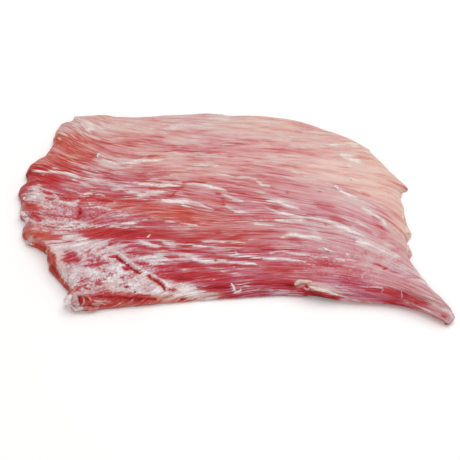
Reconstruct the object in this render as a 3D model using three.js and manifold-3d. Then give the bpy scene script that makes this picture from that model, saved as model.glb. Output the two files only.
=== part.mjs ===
// A raw pork flank: one thin, fan-shaped sheet of muscle with its fat and membrane still on, lying flat with
// the fatty side up. The fibres run from a wide cut edge (-X) to a short rope-like tail (+X, near side).
// Millimetres, +Z up, origin under the middle of the piece on the surface it lies on.
import * as THREE from "three";
import { mergeVertices } from "three/addons/utils/BufferGeometryUtils.js";
import Module from "manifold-3d";

// ---- Driving dimensions ----
const fibreLength = 290; // along the muscle, cut edge to tail
const fanWidth = 185; // across the muscle, near edge to far edge
const bodyThickness = 10.5;
const planCentre = new THREE.Vector2(-3.2, 16.7); // middle of the outline, in the frame that the guides use

// Seven fibres of the muscle, from the near long edge to the far one. Each is followed from the cut edge to
// the far end of that fibre, so the first and last are the long edges, and the ends trace the short ones.
const fibreGuides = [
  [[-103, -70.5], [-60, -67.5], [-15, -63.5], [38, -60.5], [77, -66.5], [115, -71], [143, -85]],
  [[-116, -49], [-78, -48], [-30, -48], [20, -50], [64, -54], [106, -60], [146, -79]],
  [[-141, -17], [-96, -16], [-48, -20], [1, -25], [51, -29], [98, -41], [140, -67]],
  [[-149, 21], [-104, 19], [-57, 12], [-11, 2], [39, -6], [86, -20], [129, -43]],
  [[-145, 57], [-102, 55], [-59, 48], [-15, 38], [32, 27], [83, 13], [125, -6]],
  [[-132, 87], [-95, 85], [-53, 81], [-11, 76], [34, 67], [80, 55], [126, 36]],
  [[-121, 115.5], [-82, 115.5], [-41, 116.5], [0, 117], [39, 114.5], [78, 98], [107, 79.5]],
];

// How far the torn rims stand out of (+) or in from (-) the smooth ends of the fibres: [share of the way
// from the near edge to the far edge, mm].
const cutEdgeLobes = [
  [0, 1.5], [0.05, 1.5], [0.08, -1], [0.11, -4.2], [0.16, -2.8], [0.22, -3], [0.26, -7], [0.3, -11.5],
  [0.325, -7.5], [0.345, -1.5], [0.38, 1], [0.4, 0], [0.43, -3.6], [0.455, 1.6], [0.48, 1.2], [0.5, 0.4],
  [0.52, 1.8], [0.55, 4.4], [0.57, 4.4], [0.6, 0.4], [0.62, 1.4], [0.65, 4.2], [0.68, 4.6], [0.7, 2.6],
  [0.73, -1.2], [0.77, -0.9], [0.81, 0.4], [0.86, 3.8], [0.9, 6], [0.93, 6.2], [0.95, 0], [0.98, -0.4],
  [1, 0.4],
];
const tornEdgeTeeth = [
  [0, -0.6], [0.06, -0.4], [0.1, 0], [0.16, 0.6], [0.2, 1], [0.24, -0.4], [0.3, -0.8], [0.36, -0.6], [0.4, 1],
  [0.43, 1.8], [0.455, 2.6], [0.48, 0.4], [0.5, 0.6], [0.53, -2], [0.56, -3.8], [0.595, 0.2], [0.63, -2.2],
  [0.675, 3.2], [0.71, 0], [0.76, -1.8], [0.8, -3.6], [0.83, -1.4], [0.858, 6.6], [0.88, 3.6], [0.9, 0.8],
  [0.93, -0.4], [0.96, -3.6], [1, -1.6],
];
const farEdgeWaves = [
  [0, 0], [0.05, 0.4], [0.1, 1.5], [0.15, -1], [0.2, -2], [0.25, -1.4], [0.3, 0], [0.36, 0.8], [0.42, 2],
  [0.47, 1], [0.5, -0.8], [0.58, -0.2], [0.66, -0.8], [0.74, 0.9], [0.8, 0.2], [0.9, 1.6], [1, 0],
];
const rimReach = 15; // all of them die out this far in from the rim

// Height of the rim's top above the table: [share along the edge, mm].
const nearRimHeight = [
  [0, 8], [0.05, 9], [0.14, 8.5], [0.24, 4.5], [0.32, 2.8], [0.5, 2.5], [0.55, 2.6], [0.568, 5.6], [0.63, 5],
  [0.7, 3.6], [0.78, 3.4], [0.86, 5], [0.93, 6], [1, 5],
];
const farRimHeight = [[0, 4], [0.3, 4], [0.7, 3.5], [1, 2.2]];
const cutRimHeight = [
  [0, 8], [0.1, 8.5], [0.27, 7.5], [0.34, 5], [0.42, 3.6], [0.5, 5], [0.7, 5.5], [0.85, 5], [1, 4],
];
const tornRimHeight = [[0, 4.5], [0.12, 6], [0.27, 6], [0.36, 5], [0.45, 3], [0.6, 2.4], [1, 2.2]];

// How far in from the rim the top takes to come up to its full height, and how round that slope is: 0.5 is a
// quarter of an ellipse and 1 leaves the rim at a slant. [share along the edge, mm or roundness].
const nearDome = [[0, 5], [0.15, 7], [0.28, 16], [0.54, 15], [0.57, 6], [0.7, 8], [1, 7]];
const farDome = [[0, 22], [0.5, 30], [1, 28]];
const cutDome = [[0, 6], [0.3, 7], [0.42, 14], [0.6, 11], [1, 14]];
const tornDome = [[0, 6], [0.2, 8], [0.4, 14], [0.6, 20], [1, 20]];
const nearRoundness = [[0, 0.5], [0.15, 0.55], [0.28, 0.8], [0.54, 0.75], [0.57, 0.5], [1, 0.5]];
const endRoundness = [[0, 0.5], [0.3, 0.6], [0.5, 0.75], [1, 0.75]];
const farRoundness = 0.65;

// The cut walls lean: their foot stands this far outside the top's rim, or under it where less than nought.
const nearFlare = [
  [0, 4], [0.05, 4.4], [0.15, 2.6], [0.25, 1.4], [0.35, 0.9], [0.54, 0.8], [0.566, -3.6], [0.64, -3.2],
  [0.69, -2], [0.74, -0.6], [0.86, -1], [1, -0.4],
];
const cutFlare = [
  [0, 2], [0.05, 3], [0.2, 3.4], [0.3, 2], [0.42, 0.2], [0.5, 1.2], [0.68, 1.2], [0.85, 0.4], [1, 0],
];
const wallBulge = 0.9;
const tailBulge = 1.9;
const footTuck = 1.1; // the foot of the wall turns in by this where it meets the underside

// Soft swells and hollows of the top: middle and half-lengths as shares of the fibre length and fan width,
// rise in mm.
const swells = [
  { name: "corner fat pad", along: 0.1, across: 0.17, reach: [0.13, 0.13], rise: 2.2 },
  { name: "near left shoulder", along: 0.05, across: 0.5, reach: [0.1, 0.1], rise: 1.2 },
  { name: "island in the pad", along: 0.075, across: 0.235, reach: [0.028, 0.026], rise: -1 },
  { name: "pit in the fat", along: 0.145, across: 0.44, reach: [0.018, 0.03], rise: -1.8 },
  { name: "hollow behind the pad", along: 0.28, across: 0.345, reach: [0.14, 0.022], rise: -1.4 },
  { name: "cut beside the scar", along: 0.2, across: 0.185, reach: [0.03, 0.03], rise: -1.2 },
  { name: "middle belly", along: 0.52, across: 0.42, reach: [0.2, 0.13], rise: 1.6 },
  { name: "far flat", along: 0.45, across: 0.8, reach: [0.3, 0.12], rise: -1.3 },
  { name: "far left swell", along: 0.2, across: 0.72, reach: [0.13, 0.07], rise: 0.9 },
  { name: "far right pad", along: 0.86, across: 0.88, reach: [0.07, 0.05], rise: 1.1 },
  { name: "front hollow", along: 0.42, across: 0.09, reach: [0.12, 0.05], rise: -1.2 },
  { name: "dip before the flap", along: 0.535, across: 0.08, reach: [0.02, 0.04], rise: -1.2 },
  { name: "flap's swell", along: 0.64, across: 0.1, reach: [0.06, 0.06], rise: 0.8 },
  { name: "tail ridge", along: 0.95, across: 0.26, reach: [0.11, 0.075], rise: 3.2 },
  { name: "tail groove", along: 0.89, across: 0.135, reach: [0.09, 0.026], rise: -2.8 },
  { name: "tail's near roll", along: 0.93, across: 0.055, reach: [0.09, 0.035], rise: 1.6 },
  { name: "right shoulder", along: 0.84, across: 0.52, reach: [0.08, 0.14], rise: 1.0 },
];

// Long shallow ridges that follow the fibres: how many cross the fan, how high they stand, and how far they
// wander as a share of the fan width.
const bundleCount = 19;
const bundleHeight = 0.38;
const bundleWander = 0.035;

// Crumbly lumps of the fat pad in the near left corner.
const crumbs = { along: 0.11, across: 0.17, reach: [0.14, 0.14], pitch: 13, rise: 0.45 };

// Solids fused to the sheet. A route is [share along, share across, mm above the top], or [x, y, z] in the
// frame of the guides where it says so.
const scarCord = {
  radius: 1.5,
  pieces: 12,
  sides: 7,
  route: [
    [0.158, 0.29, -2], [0.172, 0.262, -0.4], [0.205, 0.172, -0.2], [0.24, 0.08, -0.5], [0.256, 0.045, -2],
  ],
};
const cornerHook = {
  radius: 2.7,
  pieces: 14,
  sides: 8,
  inGuideFrame: true,
  route: [
    [-104, -57, 6], [-107, -62.5, 6.6], [-107.5, -68.5, 5], [-103.5, -72.6, 3.8], [-98.5, -73, 4],
    [-96, -69, 6],
  ],
};
const flapTongue = {
  radius: 1.9,
  pieces: 8,
  sides: 7,
  route: [[0.553, 0.075, 0.2], [0.562, 0.09, 0.7], [0.577, 0.09, 0.2], [0.592, 0.075, -1.6]],
};
const tailNubs = [
  { at: [0.985, 0.03], size: [3, 2.8, 2.8] },
  { at: [0.985, 0.14], size: [4, 3.6, 3] },
];

// ---- Grid of the sheet ----
const cellsAlong = 60;
const cellsAcross = 56;
const wallLevels = [0.84, 0.56, 0.26, 0];
const undersideStep = 4; // the flat underside has one line for this many of the top's
const rimCells = [0, 0.005, 0.016]; // the first grid lines in from each edge, as shares of the whole

// ---- Curves ----
const splineThrough = (points) => new THREE.SplineCurve(points.map(([x, y]) => new THREE.Vector2(x, y)));
const splines = fibreGuides.map(splineThrough);
const ribs = new Map();

// The point of the smooth fan at a share along the fibres and a share across them.
function fanPoint(along, across) {
  if (!ribs.has(along)) {
    ribs.set(along, new THREE.SplineCurve(splines.map((spline) => spline.getPoint(along))));
  }
  return ribs.get(along).getPoint(across).sub(planCentre);
}

// A value read off a short list of [share, value] pairs, eased between them.
function profile(pairs, share) {
  const next = pairs.findIndex(([at]) => at >= share);
  if (next === 0) return pairs[0][1];
  const [[from, low], [to, high]] = [pairs[next - 1], pairs[next]];
  return low + (high - low) * THREE.MathUtils.smoothstep((share - from) / (to - from), 0, 1);
}

const fade = (distance, reach) => (distance >= reach ? 0 : (1 - distance / reach) ** 2);
const dome = (distance, reach, round) => (1 - (1 - Math.min(distance / reach, 1)) ** 2) ** round;
const bell = (offset, reach) => Math.exp(-((offset / reach) ** 2));

// ---- Height of the top ----
function bundles(along, across) {
  const wander = bundleWander * Math.sin(5.1 * along + 7.3 * across + 1.7 * Math.sin(3.1 * along));
  const phase = 2 * Math.PI * bundleCount * (across + wander * (1 - across));
  const strength = 0.6 + 0.4 * Math.sin(9 * along + 0.61 * phase) - 0.25 * across;
  return bundleHeight * (strength * Math.sin(phase) + 0.6 * Math.sin(0.47 * phase + 4 * along));
}

function fatLumps(along, across) {
  const x = (along * fibreLength) / crumbs.pitch;
  const y = (across * fanWidth) / crumbs.pitch;
  const within = bell(along - crumbs.along, crumbs.reach[0]) * bell(across - crumbs.across, crumbs.reach[1]);
  const lengthways = Math.sin(2 * Math.PI * x + 1.9 * Math.sin(4 * y));
  const crossways = Math.sin(2 * Math.PI * y + 1.6 * Math.sin(5 * x));
  return crumbs.rise * within * lengthways * crossways;
}

function topHeight(along, across) {
  let height = bodyThickness + bundles(along, across) + fatLumps(along, across);
  for (const { along: a, across: c, reach, rise } of swells) {
    height += rise * bell(along - a, reach[0]) * bell(across - c, reach[1]);
  }
  // Each rim pulls the top down to its own height.
  const here = fanPoint(along, across);
  const roundEnd = profile(endRoundness, across);
  const rims = [
    [here.distanceTo(fanPoint(along, 1)), farDome, farRimHeight, along, farRoundness],
    [here.distanceTo(fanPoint(1, across)), tornDome, tornRimHeight, across, roundEnd],
    [here.distanceTo(fanPoint(0, across)), cutDome, cutRimHeight, across, roundEnd],
    [here.distanceTo(fanPoint(along, 0)), nearDome, nearRimHeight, along, profile(nearRoundness, along)],
  ];
  for (const [distance, domes, heights, share, round] of rims) {
    const rim = profile(heights, share);
    height = rim + (height - rim) * dome(distance, profile(domes, share), round);
  }
  return height;
}

// ---- The sheet ----
// Direction in plan that leads out of the fan, along the fibres at an end or across them at a long edge.
function outward(along, across, acrossFibres) {
  const step = 0.02;
  const inner = acrossFibres
    ? fanPoint(along, across < 0.5 ? across + step : across - step)
    : fanPoint(along < 0.5 ? along + step : along - step, across);
  return fanPoint(along, across).sub(inner).normalize();
}

// How far a wall stands out at a level: 1 is the rim of the top and 0 the foot.
function wallOffset(flare, bulge, level) {
  const lean = flare < 0 ? flare * THREE.MathUtils.smoothstep(1 - level, 0.1, 0.6) : flare * (1 - level);
  return lean + bulge * Math.sin(Math.PI * level) - footTuck * (1 - level) ** 5;
}

// Point of the sheet: along and across as above, level 1 on the top and 0 on the underside.
function sheetPoint(along, across, level) {
  const plan = fanPoint(along, across);
  const nearestEnd = along < 0.5 ? 0 : 1;
  const nearestSide = across < 0.5 ? 0 : 1;
  const toEnd = plan.distanceTo(fanPoint(nearestEnd, across));
  const lobes = profile(nearestEnd === 0 ? cutEdgeLobes : tornEdgeTeeth, across);
  let endShift = lobes * fade(toEnd, rimReach);
  if (along === nearestEnd) {
    const bulge = nearestEnd === 1 && across < 0.3 ? tailBulge : wallBulge;
    endShift += wallOffset(nearestEnd === 0 ? profile(cutFlare, across) : 0, bulge, level);
  }
  plan.addScaledVector(outward(nearestEnd, across, false), endShift);
  let sideShift = 0;
  if (nearestSide === 1) {
    const toFar = fanPoint(along, across).distanceTo(fanPoint(along, 1));
    sideShift += profile(farEdgeWaves, along) * fade(toFar, rimReach);
  }
  if (across === nearestSide) {
    sideShift += wallOffset(nearestSide === 0 ? profile(nearFlare, along) : 0, wallBulge, level);
  }
  if (sideShift !== 0) plan.addScaledVector(outward(along, nearestSide, true), sideShift);
  return new THREE.Vector3(plan.x, plan.y, topHeight(along, across) * level);
}

// Shares of the grid lines: close together at both rims and even between them.
function gridLines(cells) {
  const inner = cells - 2 * (rimCells.length - 1);
  const last = rimCells[rimCells.length - 1];
  const lines = [...rimCells];
  for (let i = 1; i < inner; i++) lines.push(last + ((1 - 2 * last) * i) / inner);
  return [...lines, ...rimCells.map((share) => 1 - share).reverse()];
}

// Places of the rim in the grid, anticlockwise from the near left corner.
function rimPlaces() {
  const places = [];
  for (let i = 0; i < cellsAlong; i++) places.push([i, 0]);
  for (let j = 0; j < cellsAcross; j++) places.push([cellsAlong, j]);
  for (let i = cellsAlong; i > 0; i--) places.push([i, cellsAcross]);
  for (let j = cellsAcross; j > 0; j--) places.push([0, j]);
  return places;
}

function sheetGeometry() {
  const alongLines = gridLines(cellsAlong);
  const acrossLines = gridLines(cellsAcross);
  const corners = [];
  const faces = [];
  const known = new Map();
  const corner = (i, j, level) => {
    const key = `${i} ${j} ${level}`;
    if (!known.has(key)) {
      known.set(key, known.size);
      corners.push(...sheetPoint(alongLines[i], acrossLines[j], level).toArray());
    }
    return known.get(key);
  };
  const quad = (a, b, c, d) => faces.push(a, b, c, a, c, d);

  for (let i = 0; i < cellsAlong; i++) {
    for (let j = 0; j < cellsAcross; j++) {
      quad(corner(i, j, 1), corner(i + 1, j, 1), corner(i + 1, j + 1, 1), corner(i, j + 1, 1));
    }
  }
  const places = rimPlaces();
  places.forEach(([i, j], at) => {
    const [k, l] = places[(at + 1) % places.length];
    let above = 1;
    for (const level of wallLevels) {
      quad(corner(i, j, level), corner(k, l, level), corner(k, l, above), corner(i, j, above));
      above = level;
    }
  });
  for (let i = 0; i < cellsAlong; i += undersideStep) {
    for (let j = 0; j < cellsAcross; j += undersideStep) {
      for (const [a, b, c] of undersideCell(i, j)) {
        faces.push(corner(...a, 0), corner(...b, 0), corner(...c, 0));
      }
    }
  }
  const sheet = new THREE.BufferGeometry();
  sheet.setAttribute("position", new THREE.BufferAttribute(new Float32Array(corners), 3));
  sheet.setIndex(faces);
  return sheet;
}

// One wide cell of the underside as a fan of triangles that takes in every rim point on its sides.
function undersideCell(i, j) {
  const end = i + undersideStep;
  const side = j + undersideStep;
  const loop = [];
  const walk = (from, to, onRim) => {
    const steps = onRim ? undersideStep : 1;
    for (let k = 0; k < steps; k++) {
      loop.push([from[0] + ((to[0] - from[0]) * k) / steps, from[1] + ((to[1] - from[1]) * k) / steps]);
    }
  };
  walk([i, j], [i, side], i === 0);
  walk([i, side], [end, side], side === cellsAcross);
  walk([end, side], [end, j], end === cellsAlong);
  walk([end, j], [i, j], j === 0);
  const inside = ([k, l]) => k > 0 && l > 0 && k < cellsAlong && l < cellsAcross;
  const start = loop.findIndex(inside);
  const turned = [...loop.slice(start), ...loop.slice(0, start)];
  const triangles = [];
  for (let k = 1; k < turned.length - 1; k++) triangles.push([turned[0], turned[k], turned[k + 1]]);
  return triangles;
}

// ---- The fused details ----
// Place over the top at a share along and across.
function overTop([along, across, lift]) {
  const point = sheetPoint(along, across, 1);
  point.z += lift;
  return point;
}

function placeInFrame([x, y, z]) {
  return new THREE.Vector3(x - planCentre.x, y - planCentre.y, z);
}

// A round cord that follows a route over the top, half sunk in it.
function cordGeometry({ radius, pieces, sides, route, inGuideFrame: isInFrame }) {
  const section = new THREE.Shape();
  for (let i = 0; i < sides; i++) {
    const turn = (2 * Math.PI * i) / sides;
    section[i ? "lineTo" : "moveTo"](radius * Math.cos(turn), radius * Math.sin(turn));
  }
  section.closePath();
  const path = new THREE.CatmullRomCurve3(route.map(isInFrame ? placeInFrame : overTop));
  return new THREE.ExtrudeGeometry(section, { steps: pieces, extrudePath: path });
}

function nubGeometry({ at, size: [x, y, z] }) {
  const nub = new THREE.SphereGeometry(1, 10, 8);
  nub.scale(x, y, z);
  const place = overTop([...at, -z * 0.55]);
  nub.translate(place.x, place.y, place.z);
  return nub;
}

// ---- Fusing ----
const wasm = await Module();
wasm.setup();

function solidOf(geometry) {
  const bare = geometry.clone();
  bare.deleteAttribute("normal");
  bare.deleteAttribute("uv");
  const merged = mergeVertices(bare, 1e-4);
  return new wasm.Manifold(
    new wasm.Mesh({
      numProp: 3,
      vertProperties: merged.getAttribute("position").array,
      triVerts: new Uint32Array(merged.index.array),
    }),
  );
}

function geometryOf(solid) {
  const { vertProperties, triVerts } = solid.getMesh();
  const geometry = new THREE.BufferGeometry();
  geometry.setAttribute("position", new THREE.BufferAttribute(vertProperties, 3));
  geometry.setIndex(new THREE.BufferAttribute(triVerts, 1));
  geometry.computeVertexNormals();
  return geometry;
}

const details = [scarCord, cornerHook, flapTongue].map(cordGeometry).concat(tailNubs.map(nubGeometry));
const flank = details.reduce((solid, detail) => solid.add(solidOf(detail)), solidOf(sheetGeometry()));

const rawPork = new THREE.MeshStandardMaterial({ color: "#b9605f", roughness: 0.45, metalness: 0 });
const porkFlank = new THREE.Mesh(geometryOf(flank), rawPork);
porkFlank.name = "pork_flank";

const part = new THREE.Group();
part.add(porkFlank);

export default part;
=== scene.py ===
# Raw pork flank: one thin fan of belly muscle under a thin skin of membrane, with a pad of fat
# at its near left corner, a torn right edge and a rounded tail.
import math

import bpy
import numpy as np
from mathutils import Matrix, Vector


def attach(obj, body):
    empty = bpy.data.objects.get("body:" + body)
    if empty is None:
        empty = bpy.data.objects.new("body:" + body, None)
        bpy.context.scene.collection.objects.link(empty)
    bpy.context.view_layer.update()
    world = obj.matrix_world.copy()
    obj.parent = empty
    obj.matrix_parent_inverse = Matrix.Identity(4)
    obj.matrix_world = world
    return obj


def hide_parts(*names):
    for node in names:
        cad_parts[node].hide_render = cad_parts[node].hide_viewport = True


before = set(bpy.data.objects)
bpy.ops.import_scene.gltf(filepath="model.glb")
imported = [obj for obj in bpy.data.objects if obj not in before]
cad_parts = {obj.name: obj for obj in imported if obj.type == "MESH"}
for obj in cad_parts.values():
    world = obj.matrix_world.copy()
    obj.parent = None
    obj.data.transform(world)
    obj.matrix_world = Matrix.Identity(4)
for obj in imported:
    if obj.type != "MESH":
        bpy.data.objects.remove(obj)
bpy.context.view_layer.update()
print("frame loaded")


# "along" runs from the cut edge at the left (0) to the torn edge and tail at the right (1),
# "across" from the near edge (0) to the far edge (1)
flank = {
    "fibreLength": 290,
    "fanWidth": 185,
    "bodyThickness": 10.5,
    "planCentre": (-3.2, 16.7),
    "fibreGuides": [
        [(-103, -70.5), (-60, -67.5), (-15, -63.5), (38, -60.5), (77, -66.5), (115, -71), (143, -85)],
        [(-116, -49), (-78, -48), (-30, -48), (20, -50), (64, -54), (106, -60), (146, -79)],
        [(-141, -17), (-96, -16), (-48, -20), (1, -25), (51, -29), (98, -41), (140, -67)],
        [(-149, 21), (-104, 19), (-57, 12), (-11, 2), (39, -6), (86, -20), (129, -43)],
        [(-145, 57), (-102, 55), (-59, 48), (-15, 38), (32, 27), (83, 13), (125, -6)],
        [(-132, 87), (-95, 85), (-53, 81), (-11, 76), (34, 67), (80, 55), (126, 36)],
        [(-121, 115.5), (-82, 115.5), (-41, 116.5), (0, 117), (39, 114.5), (78, 98), (107, 79.5)],
    ],
    "cutEdgeLobes": [
        (0, 1.5), (0.05, 1.5), (0.08, -1), (0.11, -4.2), (0.16, -2.8), (0.22, -3), (0.26, -7),
        (0.3, -11.5), (0.325, -7.5), (0.345, -1.5), (0.38, 1), (0.4, 0), (0.43, -3.6), (0.455, 1.6),
        (0.48, 1.2), (0.5, 0.4), (0.52, 1.8), (0.55, 4.4), (0.57, 4.4), (0.6, 0.4), (0.62, 1.4),
        (0.65, 4.2), (0.68, 4.6), (0.7, 2.6), (0.73, -1.2), (0.77, -0.9), (0.81, 0.4), (0.86, 3.8),
        (0.9, 6), (0.93, 6.2), (0.95, 0), (0.98, -0.4), (1, 0.4),
    ],
    "tornEdgeTeeth": [
        (0, -0.6), (0.06, -0.4), (0.1, 0), (0.16, 0.6), (0.2, 1), (0.24, -0.4), (0.3, -0.8),
        (0.36, -0.6), (0.4, 1), (0.43, 1.8), (0.455, 2.6), (0.48, 0.4), (0.5, 0.6), (0.53, -2),
        (0.56, -3.8), (0.595, 0.2), (0.63, -2.2), (0.675, 3.2), (0.71, 0), (0.76, -1.8), (0.8, -3.6),
        (0.83, -1.4), (0.858, 6.6), (0.88, 3.6), (0.9, 0.8), (0.93, -0.4), (0.96, -3.6), (1, -1.6),
    ],
    "farEdgeWaves": [
        (0, 0), (0.05, 0.4), (0.1, 1.5), (0.15, -1), (0.2, -2), (0.25, -1.4), (0.3, 0), (0.36, 0.8),
        (0.42, 2), (0.47, 1), (0.5, -0.8), (0.58, -0.2), (0.66, -0.8), (0.74, 0.9), (0.8, 0.2),
        (0.9, 1.6), (1, 0),
    ],
    "rimReach": 15,
    "nearRimHeight": [
        (0, 8), (0.05, 9), (0.14, 8.5), (0.24, 4.5), (0.32, 2.8), (0.5, 2.5), (0.55, 2.6),
        (0.568, 5.6), (0.63, 5), (0.7, 3.6), (0.78, 3.4), (0.86, 5), (0.93, 6), (1, 5),
    ],
    "farRimHeight": [(0, 4), (0.3, 4), (0.7, 3.5), (1, 2.2)],
    "cutRimHeight": [
        (0, 8), (0.1, 8.5), (0.27, 7.5), (0.34, 5), (0.42, 3.6), (0.5, 5), (0.7, 5.5), (0.85, 5), (1, 4),
    ],
    "tornRimHeight": [(0, 4.5), (0.12, 6), (0.27, 6), (0.36, 5), (0.45, 3), (0.6, 2.4), (1, 2.2)],
    "nearDome": [(0, 5), (0.15, 7), (0.28, 16), (0.54, 15), (0.57, 6), (0.7, 8), (1, 7)],
    "farDome": [(0, 22), (0.5, 30), (1, 28)],
    "cutDome": [(0, 6), (0.3, 7), (0.42, 14), (0.6, 11), (1, 14)],
    "tornDome": [(0, 6), (0.2, 8), (0.4, 14), (0.6, 20), (1, 20)],
    "nearRoundness": [(0, 0.5), (0.15, 0.55), (0.28, 0.8), (0.54, 0.75), (0.57, 0.5), (1, 0.5)],
    "endRoundness": [(0, 0.5), (0.3, 0.6), (0.5, 0.75), (1, 0.75)],
    "farRoundness": 0.65,
    "nearFlare": [
        (0, 3.6), (0.05, 4), (0.15, 2.4), (0.25, 1), (0.35, 0.2), (0.5, -0.8), (0.54, -1.4), (0.566, -5.6),
        (0.64, -5.4), (0.69, -4.2), (0.74, -2.6), (0.86, -3), (1, -1.4),
    ],
    "cutFlare": [
        (0, 2), (0.05, 3), (0.2, 3.4), (0.3, 2), (0.42, 0.2), (0.5, 1.2), (0.68, 1.2), (0.85, 0.4), (1, 0),
    ],
    "wallBulge": 0.9,
    "tailBulge": 1.9,
    "footTuck": 1.1,
    # swells and hollows: along, across, reach along, reach across, rise
    "swells": [
        (0.1, 0.17, 0.13, 0.13, 2.2), (0.05, 0.5, 0.1, 0.1, 1.2), (0.075, 0.235, 0.028, 0.026, -1),
        (0.145, 0.44, 0.018, 0.03, -1.8), (0.28, 0.345, 0.14, 0.022, -1.4),
        (0.2, 0.185, 0.03, 0.03, -1.2), (0.52, 0.42, 0.2, 0.13, 1.6), (0.45, 0.8, 0.3, 0.12, -1.3),
        (0.2, 0.72, 0.13, 0.07, 0.9), (0.86, 0.88, 0.07, 0.05, 1.1), (0.42, 0.09, 0.12, 0.05, -1.2),
        (0.535, 0.08, 0.02, 0.04, -1.2), (0.64, 0.1, 0.06, 0.06, 0.8), (0.95, 0.26, 0.11, 0.075, 2.6),
        (0.89, 0.135, 0.09, 0.03, -1.5), (0.93, 0.055, 0.09, 0.035, 1.6),
        (0.84, 0.52, 0.08, 0.14, 1.0),
    ],
    "bundleCount": 19,
    "bundleHeight": 0.38,
    "bundleWander": 0.035,
    "fatLumpPitch": 13,
    "fatLumpRise": 0.45,
    "cellsAlong": 320,
    "cellsAcross": 216,
    "undersideStep": 4,
    "wallLevels": (0.93, 0.82, 0.68, 0.54, 0.4, 0.26, 0.12, 0),
    "highest": 14.2,
}


def splineParts(count, share):
    place = (count - 1) * np.asarray(share, float)
    first = np.clip(np.floor(place).astype(int), 0, count - 2)
    w = place - first
    at = np.clip(np.stack([first - 1, first, first + 1, first + 2]), 0, count - 1)
    weight = np.stack([
        -0.5 * w + w**2 - 0.5 * w**3,
        1 - 2.5 * w**2 + 1.5 * w**3,
        0.5 * w + 2 * w**2 - 1.5 * w**3,
        -0.5 * w**2 + 0.5 * w**3,
    ])
    return at, weight


def fanPoint(along, across):
    along, across = np.broadcast_arrays(np.asarray(along, float), np.asarray(across, float))
    guides = np.array(flank["fibreGuides"], float)
    rowAt, rowWeight = splineParts(guides.shape[0], across)
    stationAt, stationWeight = splineParts(guides.shape[1], along)
    point = np.zeros(along.shape + (2,))
    for i in range(4):
        for j in range(4):
            point += (rowWeight[i] * stationWeight[j])[..., None] * guides[rowAt[i], stationAt[j]]
    return point - flank["planCentre"]


def profile(pairs, share):
    at, value = np.array(pairs, float).T
    share = np.asarray(share, float)
    after = np.clip(np.searchsorted(at, share, side="left"), 1, len(at) - 1)
    t = np.clip((share - at[after - 1]) / (at[after] - at[after - 1]), 0, 1)
    return value[after - 1] + (value[after] - value[after - 1]) * t * t * (3 - 2 * t)


def fade(distance, reach):
    return (1 - np.minimum(distance / reach, 1)) ** 2


def dome(distance, reach, roundness):
    return (1 - fade(distance, reach)) ** roundness


def bell(offset, reach):
    return np.exp(-((offset / reach) ** 2))


def smoothStep(value, low, high):
    t = np.clip((value - low) / (high - low), 0, 1)
    return t * t * (3 - 2 * t)


def gap(a, b):
    return np.linalg.norm(a - b, axis=-1)


def bundles(along, across):
    wander = flank["bundleWander"] * np.sin(5.1 * along + 7.3 * across + 1.7 * np.sin(3.1 * along))
    phase = 2 * np.pi * flank["bundleCount"] * (across + wander * (1 - across))
    strength = 0.6 + 0.4 * np.sin(9 * along + 0.61 * phase) - 0.25 * across
    strength = strength * (1 - 0.7 * smoothStep(along - 0.5 * across, 0.6, 0.85))
    return flank["bundleHeight"] * (strength * np.sin(phase) + 0.6 * np.sin(0.47 * phase + 4 * along))


def fatLumps(along, across):
    x = along * flank["fibreLength"] / flank["fatLumpPitch"]
    y = across * flank["fanWidth"] / flank["fatLumpPitch"]
    within = bell(along - 0.11, 0.14) * bell(across - 0.17, 0.14)
    waves = np.sin(2 * np.pi * x + 1.9 * np.sin(4 * y)) * np.sin(2 * np.pi * y + 1.6 * np.sin(5 * x))
    return flank["fatLumpRise"] * within * waves


def topHeight(along, across):
    height = flank["bodyThickness"] + bundles(along, across) + fatLumps(along, across)
    for atAlong, atAcross, reachAlong, reachAcross, rise in flank["swells"]:
        height = height + rise * bell(along - atAlong, reachAlong) * bell(across - atAcross, reachAcross)
    here = fanPoint(along, across)
    roundEnd = profile(flank["endRoundness"], across)
    roundNear = profile(flank["nearRoundness"], along)
    rims = [
        ((along, 1 + 0 * across), "far", along, flank["farRoundness"]),
        ((1 + 0 * along, across), "torn", across, roundEnd),
        ((0 * along, across), "cut", across, roundEnd),
        ((along, 0 * across), "near", along, roundNear),
    ]
    for edgePlace, name, share, roundness in rims:
        away = gap(here, fanPoint(*edgePlace))
        rim = profile(flank[name + "RimHeight"], share)
        height = rim + (height - rim) * dome(away, profile(flank[name + "Dome"], share), roundness)
    return height


def outward(along, across, acrossFibres):
    step = 0.02
    if acrossFibres:
        inner = fanPoint(along, np.where(across < 0.5, across + step, across - step))
    else:
        inner = fanPoint(np.where(along < 0.5, along + step, along - step), across)
    direction = fanPoint(along, across) - inner
    return direction / np.linalg.norm(direction, axis=-1, keepdims=True)


def wallOffset(flare, bulge, level):
    lean = np.where(flare < 0, flare * smoothStep(1 - level, 0.1, 0.6), flare * (1 - level))
    return lean + bulge * np.sin(np.pi * level) - flank["footTuck"] * (1 - level) ** 5


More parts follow.
